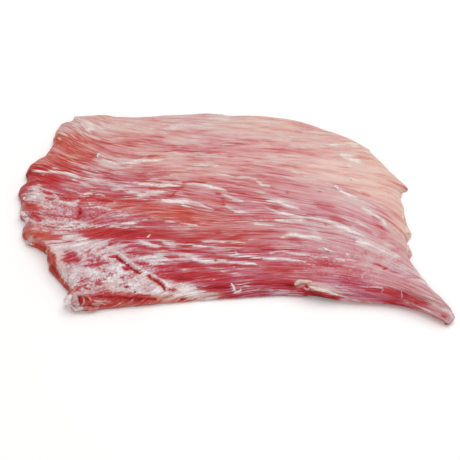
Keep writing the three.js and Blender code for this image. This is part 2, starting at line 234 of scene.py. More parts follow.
def sheetPoint(along, across, level):
    along, across, level = np.broadcast_arrays(*[np.asarray(a, float) for a in (along, across, level)])
    here = fanPoint(along, across)
    nearestEnd = np.where(along < 0.5, 0.0, 1.0)
    nearestSide = np.where(across < 0.5, 0.0, 1.0)
    lobes = profile(flank["cutEdgeLobes"], across)
    teeth = profile(flank["tornEdgeTeeth"], across)
    toEnd = gap(here, fanPoint(nearestEnd, across))
    endShift = np.where(nearestEnd == 0, lobes, teeth) * fade(toEnd, flank["rimReach"])
    bulge = np.where((nearestEnd == 1) & (across < 0.3), flank["tailBulge"], flank["wallBulge"])
    endFlare = np.where(nearestEnd == 0, profile(flank["cutFlare"], across), 0)
    endShift = endShift + np.where(along == nearestEnd, wallOffset(endFlare, bulge, level), 0)
    toFar = gap(here, fanPoint(along, 1 + 0 * across))
    waves = profile(flank["farEdgeWaves"], along) * fade(toFar, flank["rimReach"])
    sideShift = np.where(nearestSide == 1, waves, 0)
    sideFlare = np.where(nearestSide == 0, profile(flank["nearFlare"], along), 0)
    sideWall = wallOffset(sideFlare, flank["wallBulge"], level)
    sideShift = sideShift + np.where(across == nearestSide, sideWall, 0)
    plan = here + outward(nearestEnd, across, False) * endShift[..., None]
    plan = plan + outward(along, nearestSide, True) * sideShift[..., None]
    return np.concatenate([plan, (topHeight(along, across) * level)[..., None]], -1)


camera = {
    "place": (0.0032, -0.5319, 0.5722),
    "target": (0.0032, -0.0167, 0),
    "lens": 84.6,
    "sensor": 36,
}
# the photograph's side in pixels, and the mm on the sheet that one pixel spans, across and down
photo = {"side": 460, "scale": (0.712, 0.958)}


def photoPixel(point):
    # where a place on the part, in mm, lies in the photograph
    eye, aim = 1000 * np.array(camera["place"]), 1000 * np.array(camera["target"])
    look = (aim - eye) / np.linalg.norm(aim - eye)
    right = np.cross(look, (0, 0, 1))
    right = right / np.linalg.norm(right)
    offset = point - eye
    reach = camera["lens"] / camera["sensor"] * photo["side"] / (offset @ look)
    half = photo["side"] / 2
    return np.stack([half + reach * (offset @ right), half - reach * (offset @ np.cross(right, look))], -1)


# where the visible fibre lines cross each station along the sheet
grain = {
    "stations": (0, 0.12, 0.25, 0.4, 0.55, 0.7, 0.85, 1),
    "lines": [
        (-0.2, -0.12, 0, 0.07, 0.1, 0.1, 0.08, 0.06),
        (-0.06, 0, 0.1, 0.18, 0.235, 0.25, 0.22, 0.18),
        (0.13, 0.19, 0.25, 0.268, 0.3, 0.33, 0.33, 0.3),
        (0.165, 0.24, 0.335, 0.35, 0.39, 0.42, 0.42, 0.38),
        (0.32, 0.33, 0.39, 0.427, 0.475, 0.51, 0.52, 0.48),
        (0.42, 0.39, 0.465, 0.515, 0.513, 0.56, 0.57, 0.53),
        (0.6, 0.557, 0.545, 0.59, 0.59, 0.6, 0.59, 0.58),
        (0.75, 0.655, 0.63, 0.665, 0.69, 0.695, 0.68, 0.64),
        (0.87, 0.775, 0.71, 0.75, 0.775, 0.783, 0.785, 0.82),
        (0.98, 0.868, 0.835, 0.836, 0.848, 0.868, 0.89, 0.95),
        (1.1, 0.965, 0.93, 0.922, 0.914, 0.92, 0.96, 1.05),
        (1.2, 1.06, 1, 1, 1, 1, 1.05, 1.15),
    ],
    "coordinate": (0.09, 0.22, 0.29, 0.375, 0.46, 0.515, 0.595, 0.685, 0.77, 0.845, 0.915, 1),
    "wander": 0.006,
}


def smoothCurve(stations, values, share):
    # a smooth curve through a value at each station
    at, value = np.array(stations, float), np.array(values, float)
    slope = np.gradient(value, at)
    i = np.clip(np.searchsorted(at, share, side="right") - 1, 0, len(at) - 2)
    reach = at[i + 1] - at[i]
    t = (share - at[i]) / reach
    bend = t * t * (3 - 2 * t)
    turns = (t * (1 - t) ** 2) * slope[i] - (t * t * (1 - t)) * slope[i + 1]
    return value[i] + (value[i + 1] - value[i]) * bend + reach * turns


def grainCoordinate(along, across):
    along, across = np.broadcast_arrays(np.asarray(along, float), np.asarray(across, float))
    crossings = np.stack([smoothCurve(grain["stations"], line, along) for line in grain["lines"]])
    crossings = np.concatenate([crossings[:1] - 1, crossings, crossings[-1:] + 1])
    coordinate = np.array([grain["coordinate"][0] - 1, *grain["coordinate"], grain["coordinate"][-1] + 1])
    below = np.clip((crossings <= across).sum(0) - 1, 0, len(coordinate) - 2)
    low = np.take_along_axis(crossings, below[None], 0)[0]
    high = np.take_along_axis(crossings, below[None] + 1, 0)[0]
    share = (across - low) / (high - low)
    value = coordinate[below] + (coordinate[below + 1] - coordinate[below]) * share
    return value + grain["wander"] * (lattice(along * 7, across * 9, 5) - 0.5)


def lattice(x, y, seed):
    table = np.random.default_rng(seed).random((97, 89))
    column, row = np.floor(x).astype(int), np.floor(y).astype(int)
    s, t = x - column, y - row
    s, t = s * s * (3 - 2 * s), t * t * (3 - 2 * t)
    corner = [[table[(column + i) % 97, (row + j) % 89] for j in (0, 1)] for i in (0, 1)]
    left = corner[0][0] + (corner[0][1] - corner[0][0]) * t
    right = corner[1][0] + (corner[1][1] - corner[1][0]) * t
    return left + (right - left) * s


def fibreNoise(along, lane, width, length, seed):
    # streaks of this width and length in millimetres, 0 to 1, lying with the fibres
    x, y = lane * flank["fanWidth"] / width, along * flank["fibreLength"] / length
    fine = lattice(x * 2.1 + 7, y * 1.7, seed + 1)
    return 0.68 * lattice(x, y + 3 * lattice(x * 0.3, y * 0.2, seed + 2), seed) + 0.32 * fine


def lumpNoise(place, size, seed):
    # two octaves, each turned against the other, so no grid shows
    x, y = place[..., 0] / size, place[..., 1] / size
    coarse = lattice(0.8 * x + 0.6 * y + 31, 0.8 * y - 0.6 * x + 37, seed)
    fine = lattice(2.1 * (0.5 * x - 0.87 * y) + 61, 2.1 * (0.5 * y + 0.87 * x) + 67, seed + 1)
    return 0.6 * coarse + 0.4 * fine


# paleness: 0 is the deepest red muscle, 1 the palest; warmth: 0 crimson, 0.5 neutral, 1 orange;
# fat: how far white fat or membrane covers the muscle
zones = {
    # along, across, reach along, reach across, paleness, warmth, fat
    "farLeftCorner": (0.04, 0.92, 0.08, 0.07, 0.66, 0.6, 0.6),
    "farLeftBrown": (0.1, 0.96, 0.05, 0.03, 0.5, 0.95, 0.3),
    "farLeft": (0.22, 0.92, 0.12, 0.06, 0.7, 0.75, 0.5),
    "farMiddle": (0.42, 0.94, 0.12, 0.05, 0.7, 0.65, 0.5),
    "farBeige": (0.6, 0.95, 0.1, 0.04, 0.75, 0.9, 0.5),
    "farRight": (0.76, 0.93, 0.08, 0.05, 0.7, 0.75, 0.4),
    "farRightCorner": (0.93, 0.93, 0.06, 0.06, 0.7, 0.95, 0.35),
    "leftRimOrange": (0.02, 0.82, 0.03, 0.06, 0.3, 1, 0.1),
    "leftUpper": (0.1, 0.81, 0.08, 0.05, 0.54, 0.8, 0.22),
    "upperLeft": (0.25, 0.82, 0.12, 0.06, 0.49, 0.75, 0.22),
    "upperMiddle": (0.45, 0.82, 0.15, 0.05, 0.6, 0.6, 0.24),
    "upperRight": (0.65, 0.82, 0.12, 0.05, 0.64, 0.7, 0.22),
    "peachNear": (0.8, 0.82, 0.08, 0.05, 0.82, 0.8, 0.3),
    "peachRim": (0.94, 0.8, 0.06, 0.08, 0.8, 0.95, 0.4),
    "salmonLeft": (0.1, 0.72, 0.08, 0.05, 0.46, 0.75, 0.16),
    "hazeLeft": (0.25, 0.7, 0.09, 0.035, 0.6, 0.6, 0.45),
    "salmonMiddle": (0.45, 0.72, 0.12, 0.04, 0.6, 0.75, 0.2),
    "roseMiddle": (0.6, 0.69, 0.1, 0.05, 0.5, 0.65, 0.16),
    "roseRight": (0.75, 0.69, 0.1, 0.05, 0.6, 0.55, 0.22),
    "roseRim": (0.88, 0.68, 0.06, 0.05, 0.6, 0.5, 0.25),
    "tornPeach": (0.975, 0.68, 0.03, 0.08, 0.7, 0.95, 0.35),
    "darkLobeUpper": (0.01, 0.63, 0.025, 0.025, 0, 0.8, 0),
    "leftStreaks": (0.08, 0.61, 0.05, 0.04, 0.25, 0.6, 0.1),
    "middleLeft": (0.2, 0.6, 0.09, 0.05, 0.45, 0.45, 0.35),
    "middle": (0.4, 0.6, 0.12, 0.05, 0.45, 0.55, 0.12),
    "middleRose": (0.6, 0.6, 0.1, 0.06, 0.48, 0.45, 0.15),
    "rightHaze": (0.78, 0.59, 0.1, 0.05, 0.52, 0.4, 0.28),
    "rightRose": (0.92, 0.58, 0.06, 0.06, 0.6, 0.55, 0.25),
    "leftFat": (0.05, 0.49, 0.05, 0.05, 0.4, 0.45, 0.45),
    "leftRed": (0.17, 0.52, 0.08, 0.02, 0.35, 0.5, 0.25),
    "orangeRed": (0.42, 0.48, 0.13, 0.04, 0.46, 0.8, 0.08),
    "centreRose": (0.6, 0.5, 0.08, 0.05, 0.5, 0.55, 0.2),
    "rightLilac": (0.75, 0.5, 0.09, 0.05, 0.6, 0.4, 0.35),
    "rightPale": (0.9, 0.5, 0.06, 0.05, 0.65, 0.5, 0.45),
    "leftRagged": (0.1, 0.42, 0.07, 0.035, 0.42, 0.4, 0.44),
    "haze": (0.28, 0.43, 0.08, 0.03, 0.48, 0.35, 0.4),
    "redMiddle": (0.52, 0.41, 0.09, 0.05, 0.36, 0.65, 0.04),
    "lilacMiddle": (0.67, 0.37, 0.08, 0.05, 0.5, 0.4, 0.25),
    "lilacRight": (0.8, 0.4, 0.08, 0.07, 0.62, 0.5, 0.4),
    "lilacRim": (0.93, 0.38, 0.05, 0.08, 0.6, 0.4, 0.5),
    "deepRedBand": (0.27, 0.36, 0.09, 0.018, 0.15, 0.5, 0.05),
    "leftOrange": (0.02, 0.34, 0.04, 0.025, 0.44, 0.9, 0.25),
    "cutOrange": (0.02, 0.24, 0.03, 0.03, 0.35, 1, 0.2),
    "padUpper": (0.11, 0.29, 0.08, 0.04, 0.5, 0.4, 0.76),
    "streakedLeft": (0.3, 0.3, 0.08, 0.04, 0.36, 0.3, 0.45),
    "streakedMiddle": (0.5, 0.28, 0.1, 0.035, 0.38, 0.3, 0.3),
    "plum": (0.68, 0.26, 0.09, 0.04, 0.45, 0.45, 0.15),
    "tailBack": (0.83, 0.25, 0.07, 0.05, 0.62, 0.5, 0.3),
    "tailRim": (0.94, 0.22, 0.05, 0.06, 0.6, 0.55, 0.35),
    "pad": (0.1, 0.16, 0.09, 0.07, 0.45, 0.3, 0.72),
    "padMiddle": (0.2, 0.1, 0.05, 0.06, 0.5, 0.4, 0.85),
    "deepRedFront": (0.33, 0.15, 0.06, 0.03, 0.24, 0.3, 0.08),
    "frontRose": (0.46, 0.17, 0.09, 0.035, 0.36, 0.3, 0.15),
    "frontMiddle": (0.6, 0.2, 0.07, 0.035, 0.4, 0.5, 0.1),
    "crimsonRight": (0.72, 0.14, 0.05, 0.04, 0.38, 0.1, 0.25),
    "tailRidge": (0.86, 0.2, 0.06, 0.025, 0.5, 0.45, 0.2),
    "cornerRed": (0.06, 0.05, 0.06, 0.025, 0.4, 0.45, 0.5),
    "frontDarkRed": (0.09, 0, 0.08, 0.018, 0.44, 0.6, 0.2),
    "frontOrange": (0.23, 0.005, 0.04, 0.012, 0.56, 1, 0.25),
    "frontFat": (0.3, 0.04, 0.04, 0.035, 0.6, 0.5, 0.8),
    "frontCrimson": (0.43, 0.06, 0.07, 0.035, 0.27, 0.15, 0.15),
    # the hollow at the tongue's foot: dark red flesh, darkened further as painted shade
    "crackShade": (0.53, 0.07, 0.02, 0.04, 0.22, 0.35, 0.05),
    "lip": (0.61, 0.05, 0.045, 0.05, 0.62, 0.6, 0.35),
    "frontPlum": (0.71, 0.05, 0.05, 0.04, 0.48, 0.15, 0.25),
    "tailGroove": (0.83, 0.08, 0.06, 0.04, 0.3, 0.35, 0.1),
    "tailTip": (0.97, 0.1, 0.05, 0.08, 0.62, 0.5, 0.35),
}
# strokes that the photograph shows: half width in mm and strength, then the pixels that each runs through
fatStrokes = {
    "leftRim": [
        (1.3, 0.95, 23, 198.5, 27, 199.5, 31, 198.5), (0.9, 0.9, 19, 214, 23, 213, 27, 212),
        (1.4, 0.75, 25, 218, 30, 220, 35, 223), (0.8, 0.6, 34, 233, 32, 238, 31, 242),
        (1.6, 0.5, 26, 244, 30, 241, 33, 239), (1.0, 0.7, 59, 138, 60, 141),
        (1.5, 0.6, 60, 131, 63, 134, 66, 137), (1.2, 0.5, 50, 155, 54, 155),
    ],
    "leftFat": [
        (2.8, 0.9, 36, 188, 35, 193, 34, 197.5), (2.8, 0.75, 38, 193, 42, 197, 47, 199),
        (1.5, 0.75, 38, 185, 42, 189, 50, 190.5), (1.1, 0.6, 51, 190.5, 56, 196, 58, 199),
        (2.4, 0.75, 56, 201, 63, 203.5, 71, 203.5, 78, 201), (1.2, 0.6, 60, 208, 70, 207, 76, 205),
        (0.9, 0.6, 43, 202, 50, 204.5, 56, 206.5), (0.9, 0.5, 52, 211, 60, 212.5, 68, 214),
        (1.0, 0.85, 97, 206.5, 100, 208.5), (0.8, 0.75, 107, 206, 110, 204),
        (0.9, 0.6, 88, 203, 95, 206), (0.8, 0.6, 114, 203, 118, 206),
    ],
    "farLeft": [
        (2.0, 0.5, 76, 120, 84, 122, 92, 124), (3.5, 0.5, 75, 125, 88, 126, 100, 126.5),
        (1.0, 0.95, 86, 130, 91.5, 130), (1.0, 0.45, 100, 129, 112, 132, 124, 136),
        (1.0, 0.5, 76, 132, 90, 136, 104, 141), (1.2, 0.5, 118, 138, 132, 142, 146, 145),
        (2.5, 0.5, 152, 128, 166, 130, 176, 128),
    ],
    "upperLeft": [
        (1.4, 0.9, 32, 171, 40, 171.5, 50, 171.5, 60, 172.5, 68, 174), (0.9, 0.9, 40, 174, 45, 175),
        (1.4, 0.97, 68, 174, 74, 176, 80, 178), (0.9, 0.7, 53, 168, 58, 168.5, 66, 170.5, 75, 172.5),
        (1.0, 0.6, 80, 167, 88, 168.5, 95, 171, 103, 174.5), (2.1, 0.85, 84, 177, 90, 178, 97, 180),
        (1.1, 0.7, 97, 180.5, 105, 181.5, 113, 183.5), (0.8, 0.5, 33, 180, 38, 178, 45, 178.5, 50, 180),
        (0.8, 0.6, 36, 164, 40, 166), (1.0, 0.98, 97, 157, 98.5, 154.5),
        (3.4, 0.7, 104, 160, 114, 163, 126, 165, 138, 163), (1.1, 0.65, 130, 163, 140, 160, 146, 157.5),
        (1.8, 0.85, 112, 190.5, 122, 190, 132, 192, 140, 194),
        (1.1, 0.85, 125, 197, 135, 198.5, 146, 199.8),
        (1.7, 0.6, 86, 193.5, 95, 193.5, 104, 196, 109, 199),
        (0.9, 0.8, 62, 184.5, 67, 188.5, 73, 191, 80, 194.5),
        (1.1, 0.9, 83, 195, 88, 194, 91, 192.5), (1.0, 0.8, 72, 179.5, 77, 181),
        (1.2, 0.65, 80, 182, 87, 185.5, 95, 187.5, 104, 188.5), (1.0, 0.5, 118, 181, 130, 183, 140, 183.5),
        (0.8, 0.5, 108, 186, 120, 186.5, 135, 186),
    ],
    "upperMiddle": [
        (1.4, 0.65, 165, 153, 173, 152.5, 182, 154.5, 190, 154.5, 197, 153.5),
        (1.3, 0.75, 200, 154, 210, 155.5, 218, 156.5), (1.0, 0.8, 143, 161, 158, 160.5, 166, 159, 171, 158),
        (1.8, 0.8, 190, 167, 200, 165.5, 210, 164.5, 218, 165.5),
        (0.8, 0.6, 158, 171.5, 175, 170.5, 190, 170.5),
        (1.0, 0.8, 207, 172, 220, 174.5, 231, 176.5, 243, 178, 256, 179), (1.5, 0.55, 238, 177.5, 250, 177),
        (2.0, 0.6, 163, 177, 172, 176, 178, 177), (1.8, 0.5, 150, 178, 160, 180, 172, 180),
        (0.8, 0.65, 266, 156.5, 285, 156.5, 293, 155.5),
        (0.9, 0.85, 269, 160.5, 280, 163, 290, 164, 297, 163, 304, 161.5),
        (1.6, 0.5, 222, 146, 232, 145, 240, 144), (1.8, 0.5, 217, 117, 228, 118),
        (1.4, 0.5, 262, 139, 275, 138, 290, 140, 296, 141.5), (1.0, 0.5, 178, 142.5, 190, 142, 200, 144),
    ],
    "farRight": [
        (1.2, 0.55, 303, 132.5, 312, 132, 320, 133),
        (1.2, 0.65, 300, 148, 315, 147.5, 327, 146.5, 336, 144),
        (1.2, 0.6, 336, 144.5, 346, 143, 352, 143.5), (0.8, 0.85, 350, 142.5, 358, 145),
        # painted highlight: the widest stroke here, with the two on the next line, is a broad sheen on the
        # wet surface, painted as white fat
        (0.8, 0.8, 353, 146.5, 357, 147), (4.2, 0.85, 343, 155.5, 350, 158, 358, 161),
        (1.6, 0.6, 335, 153, 342, 155), (1.6, 0.55, 360, 163, 366, 164.5),
        (0.9, 0.95, 347.5, 165.5, 352, 168), (0.7, 0.9, 351.8, 178, 351.5, 180.5),
        (0.9, 0.85, 293, 171.5, 300, 175, 310, 178.5, 320, 181.5, 330, 183.5, 337, 186),
        (1.0, 1, 334.5, 187, 337.5, 189.5), (1.7, 0.9, 341, 191, 348, 195, 356, 198, 363, 200.5),
        (0.9, 0.85, 363, 201, 370, 203.5, 376, 208), (1.0, 0.6, 352, 201.5, 362, 206, 372, 211),
        (0.7, 0.6, 356, 170.5, 366, 173.5, 376, 175.5, 385, 178.5, 392, 183),
        (0.8, 0.85, 385, 196.5, 386.5, 197),
        (1.5, 0.6, 399, 184, 403, 187, 408, 188.5), (1.3, 0.6, 396, 192, 399, 195),
        (1.5, 0.5, 364, 150, 368, 153, 371, 157), (0.9, 0.55, 375, 162, 384, 166.5),
        (0.8, 0.5, 318, 170, 332, 173, 346, 177, 360, 181),
        (0.8, 0.5, 303, 184, 318, 189, 332, 194, 344, 198),
        (2.0, 0.5, 404, 231, 404, 240, 407, 249),
    ],
    "whiteBand": [
        (1.7, 0.95, 140, 184.8, 150, 184.5, 160, 185.5, 170, 184.5, 182, 184, 194, 184, 203, 185, 211, 187),
        (1.5, 0.85, 211, 187, 219, 189.3, 226, 191),
        (2.0, 0.9, 138, 195.8, 148, 193, 158, 192.3, 167, 191.3),
        (1.2, 0.85, 138, 199.3, 150, 199.3, 162, 199.5),
        (2.7, 0.95, 163, 200, 171, 200.5, 179, 201.5, 187, 201.5),
        (1.4, 0.85, 186, 200.5, 193, 202, 200, 204.5, 207, 207.5, 214, 209.5),
        (1.1, 0.8, 182, 205, 190, 207.5, 199, 210, 208, 212.5, 216, 213.5, 226, 215),
        (1.8, 0.85, 222, 194.5, 228, 197, 234, 199.5, 241, 201.5),
        (1.0, 0.6, 240, 201, 250, 201.5, 262, 203, 270, 204),
        (1.5, 0.75, 222, 205, 228, 208, 234, 211, 241, 213), (1.1, 0.65, 238, 209, 244, 213, 252, 214.5),
        (1.2, 0.9, 257, 181.5, 262, 184.5, 270, 186), (1.5, 0.55, 247, 187, 255, 190, 264, 193),
        (1.5, 0.55, 266, 190, 277, 191.5, 288, 193),
        (1.7, 0.9, 268, 200.5, 279, 202.5, 288, 205.5, 298, 208.5),
        (0.9, 0.85, 303, 204.5, 311, 205, 318, 208),
        (1.1, 0.8, 265, 207.5, 275, 211, 284, 213.5, 291, 215.5),
    ],
    "haze": [
        (1.4, 0.97, 122, 224.5, 130, 224, 138, 222.5), (0.8, 0.85, 105, 224.5, 118, 226.5),
        (0.8, 0.8, 107, 226.5, 122, 227.5, 137, 229.5), (1.3, 0.95, 71, 222.5, 78, 221.5),
        (1.8, 0.5, 50, 234, 60, 232, 72, 230, 84, 232), (1.2, 0.65, 143, 220.5, 152, 218, 161, 219.5),
        (1.2, 0.75, 160, 221, 170, 222, 180, 224.3), (0.7, 0.55, 170, 226.5, 190, 229.3),
        (1.0, 0.93, 180, 223, 190, 224.8, 200, 226), (2.2, 0.4, 236, 223, 248, 221.5, 260, 224),
        (0.9, 0.85, 255, 224, 264, 224.8, 274, 226), (0.8, 0.65, 254, 220.8, 268, 220.8),
        (0.9, 0.9, 147, 236.5, 150, 235.5), (0.7, 0.65, 150, 239.5, 165, 241),
        (1.3, 0.5, 119, 244, 127, 245.5),
    ],
    "upperRight": [
        (1.3, 0.9, 273, 210.5, 285, 213.8, 297, 216.3, 307, 217.8),
        (1.8, 0.93, 307, 217.8, 318, 218.8, 328, 221.3, 336, 224.5),
        (2.7, 0.93, 336, 225, 344, 228, 352, 231.3, 360, 234.5), (1.3, 0.75, 360, 235, 367, 239),
        (1.8, 0.9, 276, 220, 284, 219.8, 292, 219.5, 300, 220.5), (3.0, 0.4, 302, 224, 315, 225, 328, 227),
        (2.6, 0.9, 283, 237.3, 289, 235.3, 296, 235, 303, 236.8, 312, 236.8, 320, 238.5),
        (1.2, 0.5, 320, 238.5, 330, 240), (1.8, 0.65, 312, 231, 319, 234),
        (0.7, 0.75, 280, 242.5, 292, 244, 303, 246.3),
        (0.8, 0.9, 310, 246, 320, 249, 327, 250.3), (1.0, 1, 323, 248.8, 327, 250.3),
        (1.0, 1, 330, 252, 333, 252.5),
        (1.0, 0.85, 270, 253.3, 276, 251.5, 283, 251.3, 292, 253.3, 302, 254.5,
         312, 256.3, 321, 257.3, 328, 257.5),
        (1.3, 1, 263, 258.2, 275, 259, 286, 259.8, 296, 260.8, 306, 262),
        (1.2, 0.9, 336, 258.5, 344, 260.5),
        (0.9, 0.95, 347, 253.5, 348.5, 256), (0.8, 0.65, 348, 260, 357, 260.5),
        (2.2, 0.93, 357, 241.5, 363, 243.5, 369, 244.5),
        (2.4, 0.8, 368, 243, 375, 246.5, 383, 250, 390, 253, 397, 256),
        (1.4, 0.7, 384, 252, 393, 254, 398, 258),
        (1.8, 0.93, 363, 208.5, 370, 212, 377, 216, 382, 220, 386, 224.5),
        (1.3, 0.75, 386, 225, 392, 229.5, 398, 234),
        (1.0, 0.7, 357, 221.5, 364, 226.5, 372, 231, 382, 234.5),
        (0.9, 0.5, 340, 216, 350, 221), (2.8, 0.4, 375, 265, 390, 266, 404, 270),
        (3.2, 0.35, 350, 258, 362, 262, 375, 268),
        (0.8, 0.6, 384, 244, 391, 246), (0.7, 0.7, 337, 246, 339, 247),
    ],
    "bands": [
        (1.7, 0.96, 140, 241.5, 147, 244, 153, 246, 160, 247.2), (1.6, 0.9, 164, 243.5, 175, 245),
        (1.1, 0.75, 178, 244.5, 194, 245), (1.1, 0.9, 190, 245.3, 204, 246.5, 217, 248.3, 230, 249.6),
        (1.1, 0.9, 202, 241.5, 215, 242, 230, 242, 245, 243), (0.8, 0.65, 248, 240.5, 257, 238.5),
        (2.5, 0.95, 140, 259.5, 149, 257.5, 158, 257, 166, 258), (1.2, 0.8, 150, 262, 160, 261, 170, 260),
        (1.5, 0.65, 180, 255.5, 188, 256, 196, 257),
        (2.1, 0.95, 194, 259.5, 204, 261, 214, 261.3, 225, 261),
        (1.6, 0.96, 225, 261.5, 235, 262.7, 245, 263.2, 255, 264.5), (0.9, 0.75, 255, 265, 261, 266.5),
        (2.0, 0.85, 202, 262, 206, 263.5),
        (1.1, 0.93, 231, 256.5, 240, 256.5, 247, 256.3, 256, 257.6, 264, 258.2),
        (0.8, 0.8, 235, 252, 237.5, 254, 235, 256), (0.7, 0.95, 193.5, 267, 195, 267),
        (0.7, 0.95, 234, 267, 236, 267),
    ],
    "padEdge": [
        (3.0, 0.6, 64, 278, 74, 284, 88, 287, 102, 288.5, 118, 289.5, 132, 289.5),
        (2.2, 0.6, 58, 268, 62, 276, 68, 282),
        (2.4, 0.6, 53, 246, 57, 254, 58, 264), (2.2, 0.5, 72, 291, 80, 293, 88, 293),
    ],
    # painted highlights: a lilac sheen on the wet near wall, painted as fat; the stroke from 157 to 178 is
    # the pale membrane there
    "strip": [
        (1.5, 0.7, 93, 300, 99, 301.5, 107, 301.5, 114, 300.5), (0.9, 0.5, 96, 297.8, 104, 298.6),
        (0.8, 0.4, 108, 303.5, 118, 303.3),
        (0.8, 0.4, 118, 304.6, 128, 303.8, 138, 303), (1.0, 0.55, 93, 303.5, 99, 306),
        (0.7, 0.4, 140, 304, 152, 303),
        (1.6, 0.35, 157, 300, 168, 298.6, 178, 297.6), (0.7, 0.5, 98, 307.5, 106, 307.8),
        (0.6, 0.35, 122, 301.4, 132, 301),
    ],
    "tornPatch": [
        (2.6, 0.75, 62, 228, 72, 226, 84, 225), (2.2, 0.7, 64, 238.5, 76, 236.5, 86, 239.5),
        (3.0, 0.55, 40, 221, 55, 223.5, 70, 222), (1.6, 0.6, 100, 217, 114, 216, 128, 214.5),
        (1.4, 0.6, 92, 205.5, 106, 208.5, 120, 211), (1.6, 0.6, 86, 226, 94, 226, 102, 225),
    ],
    "scar": [
        (0.9, 0.45, 96, 244, 108, 248.5, 118, 254.5, 125, 260.5, 135, 269.5),
        (1.0, 0.75, 118, 252.5, 128, 261, 138, 268.5),
        (1.0, 0.8, 138, 269, 148, 273.5, 158, 278, 165, 283.5, 171, 290.5),
        (1.2, 0.93, 132, 292, 140, 293, 149, 294), (1.0, 1, 110.5, 281, 112, 281),
        (1.0, 1, 133, 292, 136, 293),
    ],
    "front": [
        (3.0, 1, 177, 291, 184, 291.5, 192, 290, 198, 288.5), (1.9, 0.95, 190, 293.5, 200, 292, 205, 290.5),
        (1.9, 0.9, 174, 293, 180, 294.5), (1.1, 0.97, 231.5, 284.5, 232.5, 288, 235, 291),
        (0.9, 0.9, 234, 293.3, 239, 292.5, 241, 290), (0.8, 0.65, 235, 284, 243, 284.5, 250, 287),
        (0.7, 0.9, 213, 279.5, 214.5, 279.5), (0.8, 0.9, 184, 270.3, 186, 270.3),
        (0.9, 0.65, 170, 270.8, 185, 270.5, 200, 271),
        (0.9, 0.6, 200, 267.7, 215, 268.5, 232, 268.5, 250, 269),
        (1.0, 0.65, 221, 271.5, 230, 273, 240, 274), (0.7, 0.6, 175, 282.5, 186, 284, 199, 285),
        (1.2, 0.5, 245, 292.8, 262, 292.6, 280, 292, 296, 291.5), (0.8, 0.65, 280, 290.5, 290, 291),
        (1.2, 0.45, 244, 290.5, 262, 290, 280, 289.5),
    ],
    "lip": [
        (1.3, 1, 309.5, 287, 317, 289.6, 326, 291.6, 333, 293.5),
        (3.0, 0.45, 309, 283.5, 320, 286, 331, 289.5, 341, 294.5),
        (0.8, 0.6, 341, 296, 350, 299, 360, 300.5), (0.9, 0.4, 333, 284, 342, 288.5, 352, 293),
        (0.8, 0.4, 338, 282, 348, 288, 360, 292.5),
    ],
    "tail": [
        (0.8, 0.9, 370, 288, 376, 287.5, 383, 288), (0.7, 0.85, 382.8, 290, 382, 294),
        (0.9, 0.85, 401.3, 293, 401.8, 298.5), (0.6, 0.6, 366, 272, 362, 277, 365, 282, 368, 288),
        (0.8, 0.7, 377, 281.5, 380, 282.5), (0.7, 0.45, 417, 298.5, 425, 301, 433, 304),
        (0.8, 0.5, 412, 302, 414, 308), (1.0, 0.5, 430, 306, 436, 304),
        (1.6, 0.6, 415, 270, 420, 277, 424, 281),
        (1.6, 0.5, 424, 282, 431, 288, 437, 297, 442, 305), (2.6, 0.7, 444, 309, 451, 313, 451.5, 319),
        (1.6, 0.5, 412, 291, 424, 297, 436, 305, 444, 311), (1.8, 0.5, 410, 284, 422, 290, 434, 299),
        (0.8, 0.55, 404, 300, 414, 305, 424, 309, 434, 313), (1.0, 0.4, 418, 307, 428, 311, 438, 315),
        (0.7, 0.6, 392, 286, 396, 291), (0.6, 0.6, 374, 291.5, 380, 290.5, 388, 291),
        (0.7, 0.5, 348, 287, 358, 289.5, 366, 291),
        (0.8, 0.6, 388, 272.5, 398, 275.5, 406, 278), (0.7, 0.6, 410, 279, 418, 280, 424, 283),
    ],
}
